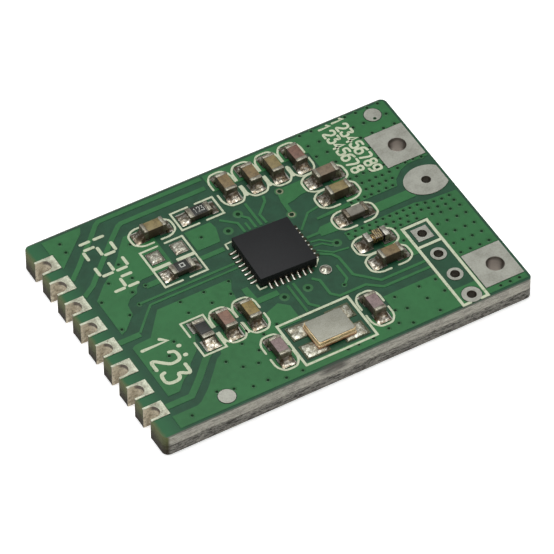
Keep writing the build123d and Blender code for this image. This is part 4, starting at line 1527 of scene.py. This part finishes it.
@dataclass
class SmallParts:
    """The two-terminal parts with rounded bodies and end caps."""

    body_edge: float = 0.03 * MM
    cap_edge: float = 0.055 * MM
    plate_edge: float = 0.02 * MM
    trim: float = 0.01 * MM
    caps: CapMetal = CapMetal("cap_tin")
    dull_caps: CapMetal = CapMetal("inductor_cap_tin", paint(126, 118, 104), paint(86, 78, 64))
    white: Ceramic = Ceramic("substrate_ceramic", paint(118, 114, 104), paint(82, 77, 68))
    black: Moulding = Moulding("overcoat", paint(44, 46, 42), paint(31, 33, 31), paint(70, 74, 68), 0.4)
    grey: Ceramic = Ceramic("inductor_ceramic", paint(124, 121, 110), paint(94, 90, 80))
    tints: tuple[Tint, ...] = (
        Tint.TAN, Tint.BROWN, Tint.BROWN, Tint.TAN, Tint.RED_BROWN, Tint.GREY_BROWN, Tint.TAN, Tint.BROWN,
        Tint.PINK, Tint.YELLOW, Tint.GREY_PINK, Tint.GREY_PINK,
    )
    mark_ink: PrintInk = PrintInk("part_mark_ink", paint(176, 178, 170), paint(120, 122, 114))
    mark_height: float = 0.002 * MM
    mark_sink: float = 0.005 * MM
    numerals: str = "123"
    numeral_tall: float = 0.4
    numeral_wide: float = 0.17
    numeral_pitch: float = 0.25
    numeral_line: float = 0.042
    square_half: float = 0.14
    square_line: float = 0.07

    def build(self) -> None:
        """Build every capacitor, resistor and the moulded inductor."""
        for number, tint in enumerate(self.tints, 1):
            node = f"capacitor_{number:02d}"
            block_node(f"{node}_ceramic", node, Ceramic(*tint.value), tint.value[0], self.body_edge)
        block_node("capacitor_caps", "capacitor_terminals", self.caps, "terminal_metal", self.cap_edge)
        block_node(
            "resistor_strips", "resistor_substrates", self.white, "white_ceramic", self.body_edge, self.trim,
        )
        block_node("resistor_plates", "resistor_terminals", self.caps, "terminal_metal", self.plate_edge)
        block_node("resistor_coats", "resistor_overcoats", self.black, "resistor_black", self.plate_edge)
        rounded_node("inductor_ceramic", "inductor_body", self.grey, "grey_ceramic", self.body_edge, sharp=40)
        block_node("inductor_caps", "inductor_terminals", self.dull_caps, "terminal_metal", self.cap_edge)
        self._marks()

    def _marks(self) -> None:
        """Add plain numerals to one resistor and a plain square to the next."""
        form = Form()
        printer = Printer(form, 0.0, 0.0)
        numbered, squared = cells("resistor_overcoats")[:2]
        for number, sign in enumerate(self.numerals):
            left = (number - len(self.numerals) / 2) * self.numeral_pitch
            left += (self.numeral_pitch - self.numeral_wide) / 2
            wide, tall = self.numeral_wide, self.numeral_tall
            for stroke in NUMERALS[sign]:
                points = [(left + px * wide, (py - 0.5) * tall) for px, py in stroke]
                self._mark(printer, numbered, points, self.numeral_line)
        h = self.square_half
        self._mark(printer, squared, [(-h, -h), (h, -h), (h, h), (-h, h)], self.square_line, True)
        form.piece("resistor_marks", (self.mark_ink,), crease=50)

    def _mark(
        self, printer: Printer, coat: Cell, points: list[Point], width: float, closed: bool = False,
    ) -> None:
        """Print one line on top of a resistor's coat.

        Args:
            printer: What draws the line.
            coat: The coat.
            points: The line in the coat's own frame.
            width: Its width.
            closed: Whether it is a loop.
        """
        printer.floor, printer.top = coat.top - self.mark_sink, coat.top + self.mark_height
        turned = [coat.matrix() @ Vector((px * MM, py * MM, 0.0)) for px, py in points]
        printer.line([(p.x / MM, p.y / MM) for p in turned], width, closed)


@dataclass
class WoundCoil:
    """The wound inductor: core, wire turns, resin coat and end caps."""

    wire: float = 0.04 * MM
    wire_sides: int = 8
    lean: float = 0.5
    core_edge: float = 0.02 * MM
    coat_edge: float = 0.028 * MM
    cap_edge: float = 0.04 * MM
    caps: CapMetal = CapMetal("coil_cap_tin", paint(190, 188, 178), paint(128, 124, 112))
    core: Ceramic = Ceramic("coil_ceramic", paint(120, 116, 106), paint(84, 80, 72))
    copper: Enamel = Enamel("coil_enamel")
    resin: WoundResin = WoundResin("coil_resin")

    def build(self) -> None:
        """Build the coil's pieces."""
        rounded_node("coil_bobbin", "coil_core", self.core, "grey_ceramic", self.core_edge)
        block_node("coil_resin_top", "coil_coat", self.resin, "olive_resin", self.coat_edge)
        block_node("coil_caps", "coil_terminals", self.caps, "terminal_metal", self.cap_edge)
        form = Form()
        for cell in cells("coil_winding"):
            form.bands(self._turn(cell))
        form.piece("coil_wire", (self.copper,), "copper_wire", "coil_winding", crease=80)

    def _turn(self, cell: Cell) -> list[list[Triple]]:
        """Lay round wire with rounded corners where the CAD has a square turn.

        Args:
            cell: The turn's solid.

        Returns:
            Rings of points round the wire.
        """
        place = cell.matrix()
        y, z = cell.half.y - self.wire, cell.half.z - self.wire
        path = cut_corners([(-y, -z), (y, -z), (y, z), (-y, z)], 3, True)
        rings = []
        for i, (py, pz) in enumerate(path):
            (ay, az), (by, bz) = path[i - 1], path[(i + 1) % len(path)]
            size = math.hypot(by - ay, bz - az)
            ny, nz = (bz - az) / size, (ay - by) / size
            lean = self.lean * math.sin(TURN * i / len(path))
            ring = [(self.wire * c, self.wire * (s + lean)) for c, s in circle(self.wire_sides)]
            rings.append([place @ Vector((side, py + ny * out, pz + nz * out)) for out, side in ring])
        return rings


@dataclass
class SolderWork:
    """Solder at the small parts' ends, on the empty place and on the test pad."""

    land_half: float = 0.49 * MM
    film: float = 0.03 * MM
    tuck: float = 0.03 * MM
    hollow: float = 2.3
    fullness: float = 0.6
    lumps: float = 0.28
    seed_step: float = 1.7
    steps: int = 10
    mound_steps: int = 12
    mound_share: float = 0.98
    mound_level: float = 0.8
    mound_low: float = 0.1
    cushion_lumps: float = 0.2
    dome_lumps: float = 0.7
    mound_grain: float = 4.65
    solder: Solder = Solder("solder")
    mound: Solder = Solder(
        "mound_solder", paint(184, 184, 170), paint(140, 136, 122), paint(110, 98, 78), 0.035, 0.7,
    )

    def build(self) -> None:
        """Build all the solder."""
        form = Form()
        for number, cell in enumerate(cells("solder_fillets")):
            self._fillet(form, cell, number * self.seed_step)
        form.piece("solder_joints", (self.solder,), "solder", "solder_fillets", crease=70)
        for name, node, shape in (
            ("bare_site_mounds", "bare_site_solder", self._cushion),
            ("test_pad_mound", "test_pad_solder", self._dome),
        ):
            form = Form()
            shares = spread(-1.0, 1.0, self.mound_steps)
            for cell in cells(node):
                form.skin(functools.partial(shape, cell), shares, shares, cell.floor)
            form.piece(name, (self.mound,), "solder", node, crease=70)

    def _fillet(self, form: Form, cell: Cell, seed: float) -> None:
        """Stand for a plain fillet with a hollow, uneven one.

        Args:
            form: The mesh to add to.
            cell: The fillet's solid.
            seed: What makes its lumps its own.
        """
        out = cell.outward.normalized()
        across = Vector((-out.y, out.x, 0.0))
        run = cell.half.x if abs(out.dot(cell.ways()[0])) > math.sqrt(0.5) else cell.half.y
        start = cell.centre - out * (run + self.tuck)
        tall = 2 * cell.half.z

        def point(u: float, v: float) -> Vector:
            """Give a point of the fillet.

            Args:
                u: Share of its length.
                v: Share of its half width.

            Returns:
                The point.
            """
            spot = start + out * (u * (2 * run + self.tuck)) + across * (v * self.land_half)
            lump = 1 + self.lumps * unevenness(spot.x / MM, spot.y / MM, seed)
            climb = (1 - u) ** self.hollow * (1 - abs(v) ** 5) ** self.fullness
            lift = tall * climb * min(lump, 1.0) + self.film * dome(u, 8) * dome(v, 8) * lump
            return Vector((spot.x, spot.y, cell.floor + min(lift, tall)))

        form.skin(point, spread(0.0, 1.0, self.steps), spread(-1.0, 1.0, self.steps), cell.floor)

    def _cushion(self, cell: Cell, u: float, v: float) -> Vector:
        """Give a point of a square mound, flat on top."""
        return self._mound_point(cell, u, v, dome(u, 6) * dome(v, 6), self.cushion_lumps)

    def _dome(self, cell: Cell, u: float, v: float) -> Vector:
        """Give a point of a round, lumpy mound.

        Args:
            cell: The mound's solid.
            u: Share of its half length, as if it were square.
            v: Share of its half width, as if it were square.

        Returns:
            The point.
        """
        reach = max(abs(u), abs(v))
        share = reach / (math.hypot(u, v) or 1.0)
        return self._mound_point(cell, u * share, v * share, dome(reach, 2), self.dome_lumps)

    def _mound_point(self, cell: Cell, u: float, v: float, swell: float, lumps: float) -> Vector:
        """Place a point of a mound.

        Args:
            cell: The mound's solid.
            u: Share of its half length.
            v: Share of its half width.
            swell: Share of its height.
            lumps: How uneven it is.

        Returns:
            The point.
        """
        share = self.mound_share
        spot = cell.matrix() @ Vector((u * cell.half.x * share, v * cell.half.y * share, 0.0))
        lump = self.mound_level + lumps * unevenness(spot.x / MM, spot.y / MM, 9.0, self.mound_grain)
        lift = 2 * cell.half.z * swell * min(1.0, max(self.mound_low, lump))
        return Vector((spot.x, spot.y, cell.floor + lift))


# Studio


@dataclass(frozen=True)
class PaleGround(Finish):
    """Plain pale floor."""

    tint: Colour = (0.95, 0.95, 0.95, 1.0)
    rough: float = 0.9
    glow: float = 0.4

    def lay(self) -> None:
        """Lay the plain tint."""
        self.surface.set(
            Base_Color=self.tint, Roughness=self.rough, Emission_Color=self.tint, Emission_Strength=self.glow,
        )


@dataclass(frozen=True)
class PhotoCamera:
    """The photograph's camera, aimed at a point of the board's top face."""

    azimuth: float = math.radians(-30.240440)
    elevation: float = math.radians(47.731160)
    roll: float = math.radians(0.151627)
    aim: Triple = (-0.605529 * MM, -0.986891 * MM, 1.65 * MM)
    distance: float = 318.224057 * MM
    focal_pixels: float = 5054.8427
    nearest: float = 0.001
    farthest: float = 10.0

    def build(self) -> None:
        """Place the camera and make it the scene's own."""
        level = math.cos(self.elevation)
        east, north = math.sin(self.azimuth), -math.cos(self.azimuth)
        back = Vector((east * level, north * level, math.sin(self.elevation)))
        right = Vector((-north, east, 0.0))
        side = math.cos(self.roll) * right + math.sin(self.roll) * back.cross(right)
        lens = bpy.data.cameras.new("photo_camera")
        lens.sensor_width = SENSOR
        lens.lens = self.focal_pixels * SENSOR / PHOTO_FRAME
        lens.clip_start = self.nearest
        lens.clip_end = self.farthest
        camera = bpy.data.objects.new("photo_camera", lens)
        bpy.context.scene.collection.objects.link(camera)
        turn = Matrix((side, back.cross(side), back)).transposed().to_4x4()
        camera.matrix_world = Matrix.Translation(Vector(self.aim) + back * self.distance) @ turn
        bpy.context.scene.camera = camera


@dataclass(frozen=True)
class Softbox:
    """One square soft light aimed at the board, with its distance and size in metres."""

    name: str
    towards: Triple
    distance: float
    size: float
    power: float
    tint: Triple = (1.0, 1.0, 1.0)

    def build(self) -> None:
        """Place the light."""
        lamp = bpy.data.lights.new(self.name, "AREA")
        lamp.shape = "SQUARE"
        lamp.size = self.size
        lamp.energy = self.power
        lamp.color = self.tint
        way = Vector(self.towards).normalized()
        holder = bpy.data.objects.new(self.name, lamp)
        holder.location = way * self.distance
        holder.rotation_euler = way.to_track_quat("Z", "Y").to_euler()
        bpy.context.scene.collection.objects.link(holder)


@dataclass
class Studio:
    """Pale floor, surrounding light, softboxes and camera."""

    surround: float = 0.16
    reach: float = 3.0
    ground: PaleGround = PaleGround("pale_ground")
    boxes: tuple[Softbox, ...] = (
        Softbox("overhead", (-0.05, 0.1, 1.0), 0.36, 0.28, 1.3),
        Softbox("back_right", (0.34, 0.58, 0.74), 0.5, 0.4, 0.12),
        Softbox("front_right", (0.42, -0.72, 0.58), 0.42, 0.12, 0.2, (1.0, 0.99, 0.97)),
        Softbox("left_low", (-0.9, 0.1, 0.5), 0.45, 0.2, 0.12),
    )

    def build(self) -> None:
        """Build the studio."""
        mesh = bpy.data.meshes.new("ground")
        r = self.reach
        mesh.from_pydata([(-r, -r, 0), (r, -r, 0), (r, r, 0), (-r, r, 0)], [], [(0, 1, 2, 3)])
        mesh.materials.append(material_of(self.ground))
        floor = bpy.data.objects.new("ground", mesh)
        bpy.context.scene.collection.objects.link(floor)
        world = bpy.data.worlds.new("surround")
        world.use_nodes = True
        sky = world.node_tree.nodes["Background"].inputs
        sky[0].default_value = (1.0, 1.0, 1.0, 1.0)
        sky[1].default_value = self.surround
        bpy.context.scene.world = world
        for box in self.boxes:
            box.build()
        PhotoCamera().build()
        bpy.context.scene.view_settings.view_transform = "Standard"


def main() -> None:
    """Load the frame, then build and dress each sub-assembly."""
    logging.basicConfig(level=logging.INFO, format="%(message)s")
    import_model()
    relief = Relief.read()
    BoardBlank().build()
    Vias(relief).build()
    BoardPrint(relief).build()
    Chip().build()
    Crystal().build()
    SmallParts().build()
    WoundCoil().build()
    SolderWork().build()
    Studio().build()


if __name__ == "__main__":
    main()
